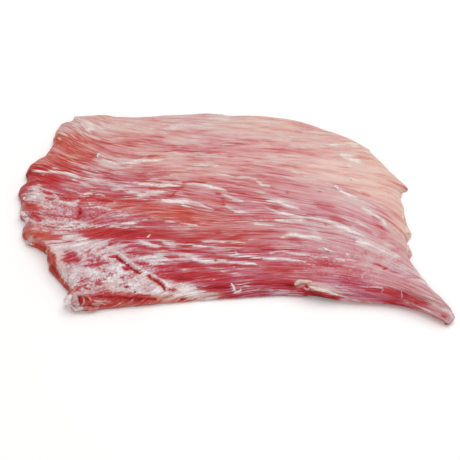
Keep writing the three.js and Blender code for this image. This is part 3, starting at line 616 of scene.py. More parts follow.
redStrokes = {
    "leftRim": [
        (1.4, 0.8, 28.5, 174, 29, 180, 30, 184), (1.4, 0.8, 31, 185, 27, 188, 22, 190.5),
        (0.9, 0.75, 20, 191, 19.5, 195, 22, 199, 24, 202.5), (2.2, 0.5, 22, 192, 27, 194),
        (1.9, 1, 25.5, 202.5, 28, 205),
        (0.7, 0.9, 24.5, 215, 26, 215.5), (1.1, 0.85, 33, 212.5, 35.5, 216, 40, 220.5),
        (0.7, 0.6, 30, 225, 24.5, 232, 25, 237, 27, 240), (0.7, 0.75, 35, 244, 42, 247),
        # from x 44 down to the near corner: the left wall's dark red, partly the cut flesh and partly painted
        # shade
        (1.4, 0.7, 56, 135, 57, 140, 56.5, 145), (2.6, 0.8, 44, 248, 48, 252.5, 51, 258, 51, 264),
        (1.5, 0.9, 53.5, 263, 54, 270, 57, 276), (1.5, 0.75, 58, 277, 65, 285, 70, 292),
    ],
    "upperLeft": [
        (0.8, 0.9, 31, 168.2, 40, 168.6, 52, 169.2, 61, 170.3, 70, 171.3), (1.0, 0.6, 33, 166.3, 38, 166.5),
        (1.0, 0.6, 43, 166.5, 50, 166), (1.6, 0.55, 55, 164, 65, 165, 77, 167.5),
        (1.3, 0.5, 58, 160.5, 75, 160, 90, 161),
        (1.2, 0.6, 66, 138, 76, 140.5, 84, 142), (1.0, 0.55, 84, 142, 93, 145, 104, 148),
        (1.0, 0.6, 57, 141, 64, 143, 70, 146),
        (2.0, 0.5, 68, 148, 82, 148), (2.1, 0.75, 91, 157.5, 94, 155.5, 95, 156.5),
        (1.7, 0.5, 60, 155, 75, 156, 90, 157.5),
        (1.0, 0.6, 88, 170.5, 98, 174.5, 108, 178, 120, 180.3), (1.4, 0.75, 77, 172.5, 82, 173.5),
        (1.9, 0.92, 50, 177.5, 57, 178), (1.3, 0.65, 33, 176.5, 42, 176, 50, 176.5),
        (1.6, 0.92, 50, 182.5, 57, 181.8),
        (2.0, 0.65, 35, 182.5, 46, 182.3), (2.2, 0.55, 37, 187.5, 48, 188, 60, 188.5),
        (0.9, 0.85, 44, 193, 50, 194),
        (1.0, 0.75, 46, 198, 54, 199), (2.0, 0.8, 60, 191, 66, 193.5, 72, 196, 80, 198.5),
        (1.8, 0.6, 64, 197.5, 72, 199.5),
        (0.9, 0.85, 72, 189, 73, 189.3), (1.1, 0.8, 83, 190, 89, 190),
        (1.1, 0.75, 90, 188.3, 100, 189.3, 110, 190.8, 118, 192),
        (0.6, 0.65, 106, 197, 120, 195.3, 134, 196.5, 146, 197.5),
        (1.4, 0.8, 82, 199.5, 90, 197.7, 97, 199.3),
        (1.2, 0.95, 97, 199.8, 105, 201.3, 112, 201.5),
        (1.8, 0.75, 113, 199.5, 124, 200.5, 136, 201.5, 146, 202),
    ],
    "left": [
        (2.0, 1, 80.5, 209, 80, 213, 78, 217.5), (0.8, 0.65, 45, 213.5, 60, 216, 75, 218),
        (1.3, 0.6, 34, 208.5, 41, 208.5),
        (0.6, 0.9, 72, 224.3, 80, 224.5), (1.0, 0.6, 48, 227, 53, 227.5), (0.9, 0.8, 40, 229, 42, 230),
        (1.6, 0.6, 34, 236.5, 48, 236.5, 62, 236), (0.6, 0.65, 40, 239.7, 62, 239.7),
        (0.6, 0.55, 62, 241.5, 78, 241.8),
        (1.6, 0.5, 90, 215, 95, 222), (1.2, 0.65, 100, 212.5, 118, 213), (0.8, 0.85, 112, 220, 116, 220.5),
        (0.9, 0.65, 118, 222, 130, 220.5), (1.6, 0.5, 90, 209, 105, 212), (1.4, 0.55, 30, 206, 38, 204),
    ],
    "deepRedBand": [
        (2.2, 0.85, 86, 235.5, 95, 235), (1.4, 0.85, 91, 231, 97, 231),
        (4.4, 1, 97, 233.5, 106, 234, 116, 234, 128, 234), (3.4, 0.55, 128, 234, 138, 234, 148, 234),
        (2.2, 0.6, 147, 234.5, 158, 236), (1.0, 0.9, 109, 243.7, 112, 243.2),
        (0.8, 0.85, 112, 241.3, 118, 241.3),
        (1.0, 0.95, 122, 242.3, 130, 242.5),
    ],
    "islands": [
        (2.6, 0.65, 65, 252, 70, 252.5, 75, 254.5), (2.6, 0.75, 66, 256.5, 71, 257, 76, 258),
        (1.7, 1, 65, 261, 72, 260.8), (1.6, 1, 72, 260.2, 79, 260.3),
        (1.2, 0.55, 92, 285, 100, 281, 106, 279), (0.9, 0.45, 76, 284, 84, 280, 92, 277.5),
        (1.2, 0.5, 74, 292, 80, 287, 88, 284),
        (1.3, 0.85, 86, 266, 96, 264.7, 104, 263.5, 110, 262.3), (0.8, 0.9, 97, 260, 100, 260),
        (0.8, 0.9, 91, 261.3, 93, 261.3),
        (1.9, 0.95, 123.5, 268, 128, 269.5), (0.9, 0.9, 148, 276, 150, 277),
        (1.0, 0.95, 150, 279.3, 157, 281.3, 163, 286),
        (1.0, 0.6, 97, 284.5, 101, 284.7), (0.9, 0.75, 85, 288, 90, 289.5),
        (1.9, 0.6, 77, 290, 82, 294.5), (1.9, 0.85, 170, 290, 176, 290.5),
        (1.2, 0.95, 125, 287.2, 128, 287.2),
        (0.6, 0.9, 120, 277.6, 124, 277.6),
    ],
    "frontStrip": [
        (1.2, 0.8, 101, 292.5, 108, 292.5), (1.6, 0.7, 112, 300.4, 130, 301.6, 148, 302.4),
        (1.4, 0.5, 100, 305, 106, 305.7, 111, 306), (1.0, 0.8, 84, 297, 95, 297.3),
        (0.7, 0.9, 133, 295.8, 150, 295.5), (0.7, 1, 134.5, 292.3, 135.5, 292.3),
        (1.2, 0.9, 181, 299.3, 184, 299.3),
        (1.0, 0.5, 112, 304.8, 125, 304.3, 140, 303.6),
    ],
    "middle": [
        (1.1, 0.8, 184, 182, 195, 181.7, 206, 182.7),
        (1.2, 0.85, 150, 188.3, 165, 188.3, 175, 187.7, 183, 187.3),
        (0.9, 0.9, 150, 196.3, 160, 197.3, 171, 196.5, 175, 192.5, 178, 190),
        (1.6, 0.5, 165, 192, 172, 192),
        (1.5, 0.5, 183, 192, 195, 196, 205, 199), (1.8, 0.6, 208, 196, 216, 200, 222, 204),
        (1.1, 0.8, 217, 193.5, 222, 197),
        (1.2, 0.8, 222, 199, 224, 205), (1.2, 0.65, 215, 209, 225, 208, 233, 212),
        (2.0, 0.45, 225, 187, 233, 190, 243, 193.5),
        (1.0, 0.5, 172, 146.5, 185, 146.3, 197, 147.3),
        (1.2, 0.55, 165, 152, 180, 150.7, 200, 152, 218, 153.7),
        (1.2, 0.5, 210, 141, 221, 141.7, 232, 143.3, 246, 144), (1.4, 0.5, 140, 174, 150, 171.5, 165, 173),
        (1.4, 0.55, 140, 182, 147, 181.5), (1.0, 0.5, 150, 155.7, 168, 156.5),
        (1.2, 0.5, 186, 157, 200, 156.7, 212, 158),
        (0.9, 0.65, 228, 156.5, 232, 157), (2.4, 0.5, 140, 203, 150, 206, 156, 209),
        (0.9, 0.5, 238, 171, 252, 173, 264, 177),
        (1.1, 0.5, 279, 165, 292, 166, 305, 166),
    ],
    "orangeRed": [
        (3.4, 0.25, 165, 214, 182, 216, 200, 219), (1.0, 0.8, 158, 221.7, 164, 221.3),
        (1.0, 0.75, 146, 218, 150, 218.5),
        (0.8, 0.65, 205, 223, 212, 223.3), (0.9, 0.65, 215, 232, 220, 232),
        (0.8, 0.9, 150, 242, 162, 242.5),
        (0.9, 0.95, 176, 242, 190, 241.3, 202, 241.5),
        (1.2, 0.8, 203, 245, 220, 245, 240, 246.3, 260, 247.5),
        (0.9, 0.8, 142, 248.5, 152, 248.7), (0.9, 0.95, 152, 249.7, 165, 249.5, 175, 251),
        (0.9, 0.85, 160, 248, 168, 248),
        (0.8, 0.9, 183, 246.7, 192, 246.3), (1.3, 1, 177, 250, 190, 251, 205, 252.3),
        (1.0, 0.9, 205, 252.5, 215, 254),
        (1.2, 0.9, 140, 253.7, 153, 254.3), (0.9, 1, 165, 257.3, 178, 257),
        (0.8, 0.75, 205, 258, 230, 258.3),
        (1.2, 1, 228, 258.6, 245, 259.4, 262, 259.7), (0.7, 1, 178, 263.5, 203, 263.7),
        (0.9, 1, 178, 266.5, 205, 266.7),
        (1.2, 0.85, 205, 265.5, 222, 265, 240, 266), (0.7, 1, 215.5, 260.5, 216.5, 260.5),
        (1.2, 0.85, 140, 264.5, 148, 264.7),
        (1.0, 0.85, 160, 267.5, 168, 267.7), (0.8, 0.95, 128, 252.7, 137, 253.3, 145, 254.2),
        (1.0, 0.95, 133, 263, 148, 263.5),
        (0.9, 0.85, 138, 247.7, 145, 247.5),
    ],
    "front": [
        (2.6, 1, 170, 277.5, 180, 278.5, 190, 278.8),
        (3.0, 0.9, 180, 275.5, 200, 275.5, 215, 276, 230, 277),
        (1.8, 0.95, 198, 288, 212, 288.5), (1.7, 1, 209, 286.5, 219, 287, 229, 287.5),
        (1.8, 0.9, 255, 285, 272, 285, 288, 285),
        (1.7, 1, 287, 285, 294, 285.5), (0.9, 0.9, 155, 274.8, 165, 275.3, 175, 275.5),
        (0.9, 0.9, 158, 278, 175, 278.5),
        (0.9, 0.85, 163, 271, 175, 272), (2.2, 0.5, 240, 279, 262, 280, 285, 280),
    ],
    "right": [
        (0.7, 1, 262, 249.5, 280, 249.8, 300, 249.8), (1.0, 0.75, 290, 239.5, 297, 241, 301, 243),
        (2.6, 0.6, 268, 265, 290, 266, 310, 266), (2.0, 0.6, 310, 262, 325, 264, 335, 267),
        (1.2, 0.65, 320, 262.5, 332, 262.5),
        (1.2, 0.65, 340, 264.5, 342, 264.5), (1.1, 0.7, 319.5, 191, 321, 191.5),
        (1.2, 0.6, 287, 192, 288, 193),
        (1.6, 0.75, 270, 207.5, 280, 208.5), (1.8, 0.6, 315, 205, 325, 206.5, 334, 207),
        (0.9, 0.9, 325, 224.5, 326, 224.8),
        (0.9, 0.65, 306, 215, 314, 216), (0.9, 0.75, 306.5, 219.5, 307.5, 219.8),
        (1.0, 0.6, 361.5, 193, 366, 194.8, 370, 196.3),
        (0.9, 0.85, 374, 264.3, 378, 264.8, 382, 267), (1.1, 1, 384.2, 268.8, 386, 268.3),
        (0.8, 0.7, 389, 271.3, 400, 273.3), (1.6, 0.45, 376, 222, 382, 228, 386, 234),
        (0.9, 0.6, 381, 235, 384, 233), (0.8, 0.65, 365.5, 251.5, 366.5, 253),
        (1.2, 0.5, 388, 252, 398, 249),
        (1.0, 0.55, 330, 218, 341, 222, 350, 227), (1.0, 0.5, 372, 216, 380, 222),
    ],
    # dark cuts in the flesh, and painted shade where noted
    "cutsAndShade": [
        # the first two are painted shade at the foot of the shaded left wall
        (1.3, 0.6, 52, 265, 54, 270, 58, 276, 62, 280), (1.3, 0.6, 65, 285.5, 69, 289.5),
        (0.8, 0.6, 48, 256, 50, 262),
        (1.3, 0.85, 109, 256.5, 116, 257, 122, 261.5),
        (1.0, 0.85, 116, 256.5, 124, 262.5, 132, 269, 140, 273.3),
        (1.0, 0.8, 148, 276, 156, 280.5, 162, 285, 164.5, 289),
        (1.2, 0.8, 164, 287, 164.5, 290.5), (1.8, 0.85, 96, 296.2, 108, 296.6, 120, 297.2, 131, 298.2),
        (2.0, 1, 126, 298.6, 140, 299.2, 155, 299), (1.3, 0.5, 83, 299, 92, 301.5),
        (1.4, 0.4, 28.5, 170, 29.5, 173), (1.5, 0.5, 208, 286.7, 219, 287.2, 228, 287.5),
        (1.6, 0.8, 287, 285, 294, 285.5),
        (1.3, 0.5, 170, 278, 190, 278.8), (1.2, 0.4, 403, 293, 407, 298),
        (0.8, 0.5, 412, 297, 420, 300.5, 426, 303),
        # painted shadow under the tail's rounded front edge
        (1.4, 0.75, 400, 307, 410, 311, 420, 316, 430, 320),
        (0.8, 0.6, 262, 249.5, 275, 249.8), (0.7, 0.5, 180, 266.5, 203, 266.7),
        (1.0, 0.4, 64, 261, 69, 261.5),
        (1.2, 0.5, 79.5, 211, 80, 214), (0.7, 0.5, 97, 199.8, 105, 201.3, 112, 201.5),
    ],
    # painted shadow: the darkest red under the overhanging lip, laid over the groove cut below it
    "crackShade": [
        (1.5, 1, 306, 289.5, 312, 291.8, 320, 293.4, 330, 295.6, 338, 298),
        (1.5, 1, 305, 293, 315, 294.5, 328, 297, 340, 300),
        (1.9, 1, 305, 296, 318, 297.5, 332, 299.5), (1.4, 0.9, 306.3, 285.5, 306.8, 289),
        (1.6, 0.7, 301, 289, 306, 291),
    ],
    "tail": [
        (4.5, 0.6, 343, 283, 353, 283, 363, 284), (1.8, 0.9, 367, 289.5, 376, 291, 386, 292),
        (2.6, 0.85, 386, 292.5, 398, 295, 408, 297.5),
        (2.4, 0.9, 402, 292.5, 407, 296), (1.4, 0.7, 410, 298, 420, 300.5, 430, 304),
        (0.9, 1, 412, 297, 420, 300.5, 426, 303),
        # this stroke and the four after it paint the tail's dark under-edge: partly its dark red flesh,
        # partly painted shade under its rounded front
        (1.3, 0.9, 392, 304, 402, 306.5, 412, 311, 425, 317, 438, 321),
        (2.2, 0.75, 396, 301, 406, 305, 416, 309),
        (0.9, 0.95, 431, 317, 436, 318.5), (1.0, 0.9, 439, 319.5, 445, 321),
        (1.3, 0.8, 442, 316, 446, 316.8),
        (1.2, 0.5, 350, 291, 362, 293.5, 376, 297), (0.9, 0.5, 366, 298, 380, 300.5, 394, 302),
        (0.6, 0.5, 403, 278.5, 414, 277.5, 421, 279), (0.6, 0.45, 404, 276, 413, 275.5, 420, 277.5),
    ],
}
warmStrokes = {
    "leftRim": [
        (1.3, 0.9, 52, 150, 46, 159, 40, 162, 33, 166, 29, 169), (1.8, 1, 56, 133, 57, 140, 56.5, 146),
        # the third stroke gives the left wall its brown: partly the cut flesh's orange, partly painted shade
        (3.0, 0.9, 44, 248, 48, 252.5, 51, 258, 52, 266, 57, 276, 64, 284, 70, 292),
        (2.5, 0.8, 30, 207, 42, 208.5),
        (2.2, 0.9, 28, 230, 36, 230, 42, 229), (2.4, 0.8, 34, 236.5, 62, 236),
        (2.0, 0.9, 25.5, 202.5, 28, 205),
    ],
    "far": [
        (2.2, 0.8, 92, 117.5, 104, 118, 112, 119.5), (1.2, 0.8, 61, 124, 66, 123.5),
        (1.5, 0.6, 177, 129.5, 195, 131.5),
        (2.6, 0.6, 244, 121, 256, 122, 266, 125), (2.0, 0.6, 230, 152, 250, 156, 268, 160),
        (1.6, 0.6, 150, 157, 170, 157),
    ],
    "upperLeft": [
        (5.0, 0.8, 58, 158, 72, 157, 88, 157), (2.2, 0.7, 100, 161, 115, 166.5, 137, 169.5),
        (4.0, 0.6, 64, 146, 80, 148, 95, 152),
    ],
    "orangeRed": [(4.2, 0.55, 156, 213, 178, 213, 198, 218), (3.2, 0.6, 200, 199, 212, 201, 222, 203)],
    "right": [
        (3.0, 0.8, 384, 169, 389, 176, 396, 185), (2.6, 0.8, 395, 197, 400, 208, 403, 220, 404, 240),
        (1.4, 0.8, 361.5, 193, 366, 194.8, 370, 196.3), (1.6, 0.7, 381, 235, 384, 233),
        (3.0, 0.6, 360, 183, 372, 186, 390, 197),
        (1.6, 0.7, 278, 165, 292, 166, 305, 166), (3.0, 0.6, 300, 168, 330, 176, 356, 184),
    ],
    "front": [
        (2.6, 0.9, 156, 299, 166, 298.6, 176, 298), (1.2, 0.9, 185, 297.7, 200, 297.7),
        (2.6, 0.7, 84, 305, 100, 306, 120, 305, 140, 304, 156, 303), (1.5, 0.8, 205, 295, 225, 295.5),
        (2.0, 0.7, 293, 285, 300, 283, 306, 283), (1.3, 0.7, 340, 299.5, 360, 301.5, 372, 303),
        (1.6, 0.6, 310, 288, 325, 292.5),
        (2.0, 0.7, 438, 319.5, 446, 320.5),
    ],
}
# these don't follow the fibres or break up into lines
plainStrokes = ("scar", "strip", "lip", "cutsAndShade", "crackShade", "islands", "frontStrip")
# how the fat breaks up into crumbs, on the pad, the torn patch above it and the back of the tail:
# middle in pixels, reach in mm, strength
crumbPlaces = {
    "pad": (106, 274, 38, 26, 0.8), "tornPatch": (70, 212, 36, 22, 0.6), "nearPad": (165, 285, 16, 12, 0.4),
    "haze": (112, 216, 20, 12, 0.5), "tailBack": (352, 262, 44, 20, 0.55),
}
# the patches of colour follow the strokes' own grain at these sizes in mm
mottle = {"wide": 4.5, "wideLength": 38, "thin": 1.4, "thinLength": 22, "crumb": 2.0}


def strokeStrength(place, ragged, lines, halfWidth, strength, *route):
    # how strongly a stroke marks each place; its edge wanders and weak strokes break up into fine lines
    stops = np.array(route, float).reshape(-1, 2) * photo["scale"]
    result = np.zeros(place.shape[:-1])
    reach = 4.5 * halfWidth
    close = np.all((place > stops.min(0) - reach) & (place < stops.max(0) + reach), -1)
    if not close.any():
        return result
    spot, rough = place[close], ragged[close]
    best, share = np.full(len(spot), 1e9), np.zeros(len(spot))
    steps = gap(stops[1:], stops[:-1])
    passed = 0
    for start, end, length in zip(stops[:-1], stops[1:], steps):
        t = np.clip(((spot - start) @ (end - start)) / length**2, 0, 1)
        away = gap(spot, start + t[:, None] * (end - start))
        share = np.where(away < best, (passed + t * length) / steps.sum(), share)
        best = np.minimum(best, away)
        passed += length
    taper = 0.5 + 0.5 * np.sin(np.pi * np.clip(share, 0.03, 0.97)) ** 0.6
    width = halfWidth * taper * (0.6 + 1.2 * rough)
    inner = lines[close] ** (2 * max(1 - strength, 0))
    core = np.exp(-((best / width) ** 2)) * inner
    halo = 0.27 * np.exp(-((best / (2.2 * width)) ** 2))
    result[close] = strength * np.maximum(core, halo)
    return np.clip(result, 0, 1)


def paintSurface(along, across, point):
    # paleness, warmth and fat at places on the sheet; the fourth value says where the fat is crumbly
    lane = grainCoordinate(along, across)
    place = photoPixel(point) * photo["scale"]
    ragged = fibreNoise(along, lane, 1.6, 12, 21)
    lines = smoothStep(fibreNoise(along, lane, 1.3, 13, 23), 0.25, 0.65)
    wander = np.stack([fibreNoise(along, lane, 3, 14, 25), fibreNoise(along, lane, 2.2, 9, 27)], -1) - 0.5
    warp = 0.03 * (fibreNoise(along, lane, 5, 34, 31) - 0.5)
    weightSum = 1e-9
    sums = [0, 0, 0]
    for atAlong, atAcross, reachAlong, reachAcross, *values in zones.values():
        distance = (
            ((along + warp - atAlong) / reachAlong) ** 2 + ((across + warp - atAcross) / reachAcross) ** 2)
        weight = np.exp(-distance) + 1e-6 / (1 + distance)
        weightSum = weightSum + weight
        sums = [total + weight * value for total, value in zip(sums, values)]
    paleness, warmth, fat = [total / weightSum for total in sums]

    crumb = 0
    for x, y, reachX, reachY, strength in crumbPlaces.values():
        away = (place - np.array([x, y]) * photo["scale"]) / (reachX, reachY)
        crumb = np.maximum(crumb, strength * np.exp(-(away**2).sum(-1)))
    # streaks that the fibres themselves make, paler and redder by turns, and crumbs on the pad
    wide = fibreNoise(along, lane, mottle["wide"], mottle["wideLength"], 41) - 0.5
    thin = fibreNoise(along, lane, mottle["thin"], mottle["thinLength"], 51) - 0.5
    dark = smoothStep(fibreNoise(along, lane, 1.5, 17, 55), 0.62, 0.85)
    smear = place + 2.2 * (np.stack([lumpNoise(place, 4, 73), lumpNoise(place, 4, 75)], -1) - 0.5)
    slant = np.stack([0.45 * smear[..., 0] - 0.2 * smear[..., 1], smear[..., 1] + 0.35 * smear[..., 0]], -1)
    lumps = lumpNoise(slant, mottle["crumb"], 57) - 0.5
    patches = lumpNoise(place, 3 * mottle["crumb"], 59) - 0.5
    swing = (0.4 * wide + 0.75 * thin) * (1 - crumb) + (0.65 * lumps + 0.75 * patches) * crumb
    paleness = 1.1 * paleness + 0.55 * swing - 0.1 * dark * (1 - crumb)
    fat = np.clip(fat + swing * (0.35 + 0.9 * fat) - 0.2 * dark * (1 - crumb) - 0.12 * crumb, 0, 1)
    warmth = warmth + 0.25 * (lumpNoise(place, 7, 65) - 0.5)

    paleness = np.maximum(paleness, 0.14)
    straight = (place, 0.4 + 0.2 * ragged, 1 + 0 * lines)
    fibrous = (place + 1.3 * wander, ragged, lines)
    for name, strokes in fatStrokes.items():
        course = straight if name in plainStrokes else fibrous
        for stroke in strokes:
            fat = 1 - (1 - fat) * (1 - strokeStrength(*course, *stroke))
    for name, strokes in redStrokes.items():
        course = straight if name in plainStrokes else fibrous
        # cuts and painted shade go down to the darkest, nearly black red
        deepest = 0 if name in ("cutsAndShade", "crackShade") else 0.16
        for stroke in strokes:
            amount = strokeStrength(*course, *stroke)
            fat = fat * (1 - amount)
            paleness = paleness + np.minimum(deepest - paleness, 0) * amount
    for strokes in warmStrokes.values():
        for stroke in strokes:
            warmth = warmth + (1 - warmth) * strokeStrength(*fibrous, *stroke)
    return np.clip(paleness, 0, 1), np.clip(warmth, 0, 1), np.clip(fat, 0, 1), crumb + 0 * along


def hexColour(code):
    # sRGB hex to the linear values that the shaders take
    parts = [int(code[i:i + 2], 16) / 255 for i in (1, 3, 5)]
    return [c / 12.92 if c <= 0.04045 else ((c + 0.055) / 1.055) ** 2.4 for c in parts] + [1]


relief = {
    "fibre": 0.3,        # mm, ridges of the muscle fibres
    "fibreWidth": 2.4,
    "fibreLength": 24,
    "fatRise": 0.35,     # fat stands this far above the muscle
    "fatGrain": 0.7,     # crumbled surface of the fat
    "fatGrainSize": 2.6,
    "wallRough": 0.7,
    "undersideRise": 0.35,    # mm, the uneven hollow of the underside, and the size of its lumps
    "undersideLump": 9,
    "undersideReach": 24,    # mm in from a rim, over which the underside is drawn out to its foot
    # raised cord, cuts and hollows: half width and height in mm, then the pixels that each runs through
    "lines": [
        (1.3, 1, 96, 244, 108, 248, 118, 253, 128, 261, 138, 268.5),
        (1.1, 0.8, 138, 269, 148, 273.5, 158, 278, 165, 283.5, 171, 290.5),
        (1, -0.7, 109, 256.5, 116, 257, 124, 263, 132, 269.5, 140, 273.8),
        (1, -0.6, 148, 276.5, 156, 281, 162, 285.5, 164.5, 289.5),
        (1.3, -1.4, 306, 289.5, 312, 291.8, 320, 293.6, 330, 296, 338, 298.5),
        (2.2, -0.8, 64, 254, 70, 256, 76, 258), (2.4, -0.7, 98, 234, 110, 234.5, 130, 234.5, 147, 234.5),
        (1.4, 0.6, 122, 224.5, 130, 224, 138, 222.5), (1.6, -0.6, 78, 217, 81, 210),
        (1.0, 0.5, 370, 288, 376, 287.5, 383, 288), (2.0, -0.35, 386, 292, 398, 295, 410, 299),
        (1.3, 0.8, 177, 291, 184, 291.5, 192, 290, 198, 288.5), (1.5, -0.8, 200, 288, 212, 287, 228, 287.5),
        (1.2, 0.7, 323, 248.8, 333, 252.5), (1.1, 0.9, 97, 157, 98.5, 154.5),
        (1.2, 1.0, 334.5, 187, 337.5, 189.5),
        (1.0, 0.8, 231.5, 284.5, 235, 291), (1.0, 0.6, 140, 241.5, 153, 246, 175, 244.5),
        (1.2, 0.5, 140, 259.5, 158, 257, 166, 258), (1.0, -0.5, 176, 242, 202, 241.5),
        (0.9, -0.5, 178, 263.5, 205, 263.7),
    ],
}


def topRelief(along, across, point, fat, crumb):
    place = photoPixel(point) * photo["scale"]
    lane = grainCoordinate(along, across)
    fibre = fibreNoise(along, lane, relief["fibreWidth"], relief["fibreLength"], 61) - 0.5
    rise = relief["fibre"] * 2 * fibre * (1 - 0.5 * fat)
    rise = rise + relief["fatRise"] * fat
    rise = rise + relief["fatGrain"] * crumb * (lumpNoise(place, relief["fatGrainSize"], 63) - 0.5) * 2
    for halfWidth, height, *route in relief["lines"]:
        rise = rise + height * strokeStrength(place, 0.5 + 0 * along, 1 + 0 * along, halfWidth, 1, *route)
    return rise


def loopPlaces():
    countAlong, countAcross = flank["cellsAlong"], flank["cellsAcross"]
    i = np.arange(countAlong) / countAlong
    j = np.arange(countAcross) / countAcross
    along = np.concatenate([i, 1 + 0 * j, 1 - i, 0 * j])
    across = np.concatenate([0 * i, j, 1 + 0 * i, 1 - j])
    return along, across


def undersidePoint(along, across):
    point = sheetPoint(along, across, 0)
    here = fanPoint(along, across)
    nearFoot = wallOffset(profile(flank["nearFlare"], along), 0, 0)
    cutFoot = wallOffset(profile(flank["cutFlare"], across), 0, 0)
    for (edgeAlong, edgeAcross), byFibres, foot in [
        ((along, 0 * across), True, nearFoot),
        ((0 * along, across), False, cutFoot),
        ((along, 1 + 0 * across), True, -flank["footTuck"]),
        ((1 + 0 * along, across), False, -flank["footTuck"]),
    ]:
        near = fade(gap(here, fanPoint(edgeAlong, edgeAcross)), relief["undersideReach"])
        point[..., :2] += outward(edgeAlong, edgeAcross, byFibres) * (foot * near)[..., None]
    hollow = relief["undersideRise"] * lumpNoise(here, relief["undersideLump"], 71)
    point[..., 2] = hollow * (1 - near)
    return point


def zipRings(outer, inner, outerShare, innerShare):
    faces, i, j = [], 0, 0
    outerShare, innerShare = [*outerShare, 4], [*innerShare, 4]
    while i < len(outer) or j < len(inner):
        a, b = outer[i % len(outer)], inner[j % len(inner)]
        if j >= len(inner) or (i < len(outer) and outerShare[i + 1] <= innerShare[j + 1]):
            faces.append((outer[(i + 1) % len(outer)], a, b))
            i += 1
        else:
            faces.append((a, b, inner[(j + 1) % len(inner)]))
            j += 1
    return faces


def sheetMesh():
    countAlong, countAcross = flank["cellsAlong"], flank["cellsAcross"]
    along, across = np.meshgrid(
        np.linspace(0, 1, countAlong + 1), np.linspace(0, 1, countAcross + 1), indexing="ij")
    top = sheetPoint(along, across, 1)
    paint = paintSurface(along, across, top)
    rise = topRelief(along, across, top, paint[2], paint[3])
    top[..., 2] = np.minimum(top[..., 2] + rise, flank["highest"])
    index = np.arange(top.shape[0] * top.shape[1]).reshape(top.shape[:2])
    faces = np.stack(
        [index[:-1, :-1], index[1:, :-1], index[1:, 1:], index[:-1, 1:]], -1).reshape(-1, 4).tolist()
    points = [top.reshape(-1, 3)]
    channels = [np.stack([along, across, *paint], -1).reshape(-1, 6)]
    used = index.size

    # walls: rows of the same loop, from the rim down to the foot
    loopAlong, loopAcross = loopPlaces()
    column = np.rint(loopAlong * countAlong).astype(int)
    row = np.rint(loopAcross * countAcross).astype(int)
    upper = index[column, row]
    rimRise = top[column, row, 2] - sheetPoint(loopAlong, loopAcross, 1)[..., 2]
    loopLength = np.arange(len(loopAlong)) * 0.88
    for level in flank["wallLevels"]:
        line = sheetPoint(loopAlong, loopAcross, level)
        step = np.roll(line, -1, 0) - np.roll(line, 1, 0)
        away = np.stack([step[:, 1], -step[:, 0]], -1)
        away = away / np.linalg.norm(away, axis=-1, keepdims=True)
        layers = lattice(loopLength / 6, line[:, 2] / 1.1 + 3, 81) - 0.5
        ragged = lattice(loopLength / 2.6, line[:, 2] / 1.8 + 3, 83) - 0.5
        rough = relief["wallRough"] * (0.9 * layers + 0.8 * ragged) * math.sin(math.pi * min(level + 0.12, 1))
        line[:, :2] += away * rough[:, None]
        line[:, 2] += rimRise * level
        lower = used + np.arange(len(line))
        nextUpper, nextLower = np.roll(upper, -1), np.roll(lower, -1)
        faces += np.stack([upper, lower, nextLower, nextUpper], -1).tolist()
        points.append(line)
        channels.append(np.stack(paintWall(loopAlong, loopAcross, line, level), -1))
        upper = lower
        used += len(line)

    # underside: a coarser grid, joined to the foot of the walls
    step = flank["undersideStep"]
    innerAlong = np.arange(step, countAlong, step)
    innerAcross = np.arange(step, countAcross, step)
    along, across = np.meshgrid(innerAlong / countAlong, innerAcross / countAcross, indexing="ij")
    under = used + np.arange(along.size).reshape(along.shape)
    faces += np.stack(
        [under[:-1, :-1], under[:-1, 1:], under[1:, 1:], under[1:, :-1]], -1).reshape(-1, 4).tolist()
    points.append(undersidePoint(along, across).reshape(-1, 3))
    channels.append(np.stack([along, across, *paintUnderside(along, across)], -1).reshape(-1, 6))
    lastAlong, lastAcross = under.shape[0] - 1, under.shape[1] - 1
    ring = np.concatenate([under[:-1, 0], under[-1, :-1], under[:0:-1, -1], under[0, :0:-1]])
    ringShare = np.concatenate([
        np.arange(lastAlong) / lastAlong, 1 + np.arange(lastAcross) / lastAcross,
        2 + np.arange(lastAlong) / lastAlong, 3 + np.arange(lastAcross) / lastAcross])
    loopShare = np.concatenate([
        np.arange(countAlong) / countAlong, 1 + np.arange(countAcross) / countAcross,
        2 + np.arange(countAlong) / countAlong, 3 + np.arange(countAcross) / countAcross])
    faces += zipRings(upper.tolist(), ring.tolist(), loopShare.tolist(), ringShare.tolist())
    return np.concatenate(points), faces, np.concatenate(channels)


def paintWall(along, across, point, level):
    # the walls carry the rim's grain and colours on down, with layers showing, and painted shade darkens them
    # towards the foot
    isCut, isNear = along == 0, across == 0
    drop = (1 - level) * topHeight(along, across)
    along = along + drop / flank["fibreLength"] * (1.0 * (along == 1) - isCut)
    across = across + drop / flank["fanWidth"] * (1.0 * (across == 1) - isNear)
    paleness, warmth, fat, crumb = paintSurface(along, across, point)
    layers = lumpNoise(point[:, :2] + 14 * level, 3, 91) - 0.5
    # painted shade: each wall is darker and carries less fat towards its foot, most of all on the cut wall
    paintedWallShade = np.where(isCut, 0.6, np.where(isNear, 0.15, 0.2)) * (1 - level)
    paleness = np.clip(paleness * (1 - paintedWallShade) + 0.25 * layers, 0, 1)
    fat = np.clip(fat * (1 - 1.4 * paintedWallShade) + 0.3 * layers * fat, 0, 1)
    warmth = np.clip(warmth + np.where(isCut, 0.4, 0.1) * (1 - level), 0, 1)
    return along, across, paleness, warmth, fat, crumb


def paintUnderside(along, across):
    place = fanPoint(along, across)
    lane = grainCoordinate(along, across)
    patches = lumpNoise(place, 28, 95)
    streaks = fibreNoise(along, lane, 7, 60, 97)
    paleness = 0.45 + 0.3 * (streaks - 0.5)
    warmth = 0.45 + 0.3 * (patches - 0.5)
    fat = 0.15 + 0.55 * smoothStep(patches, 0.4, 0.8) + 0.35 * (streaks - 0.5)
    return np.clip(paleness, 0, 1), np.clip(warmth, 0, 1), np.clip(fat, 0, 1), 0.2 * patches


def curvePoints(stops, count):
    at, weight = splineParts(len(stops), np.linspace(0, 1, count))
    return (weight[..., None] * np.array(stops, float)[at]).sum(0)


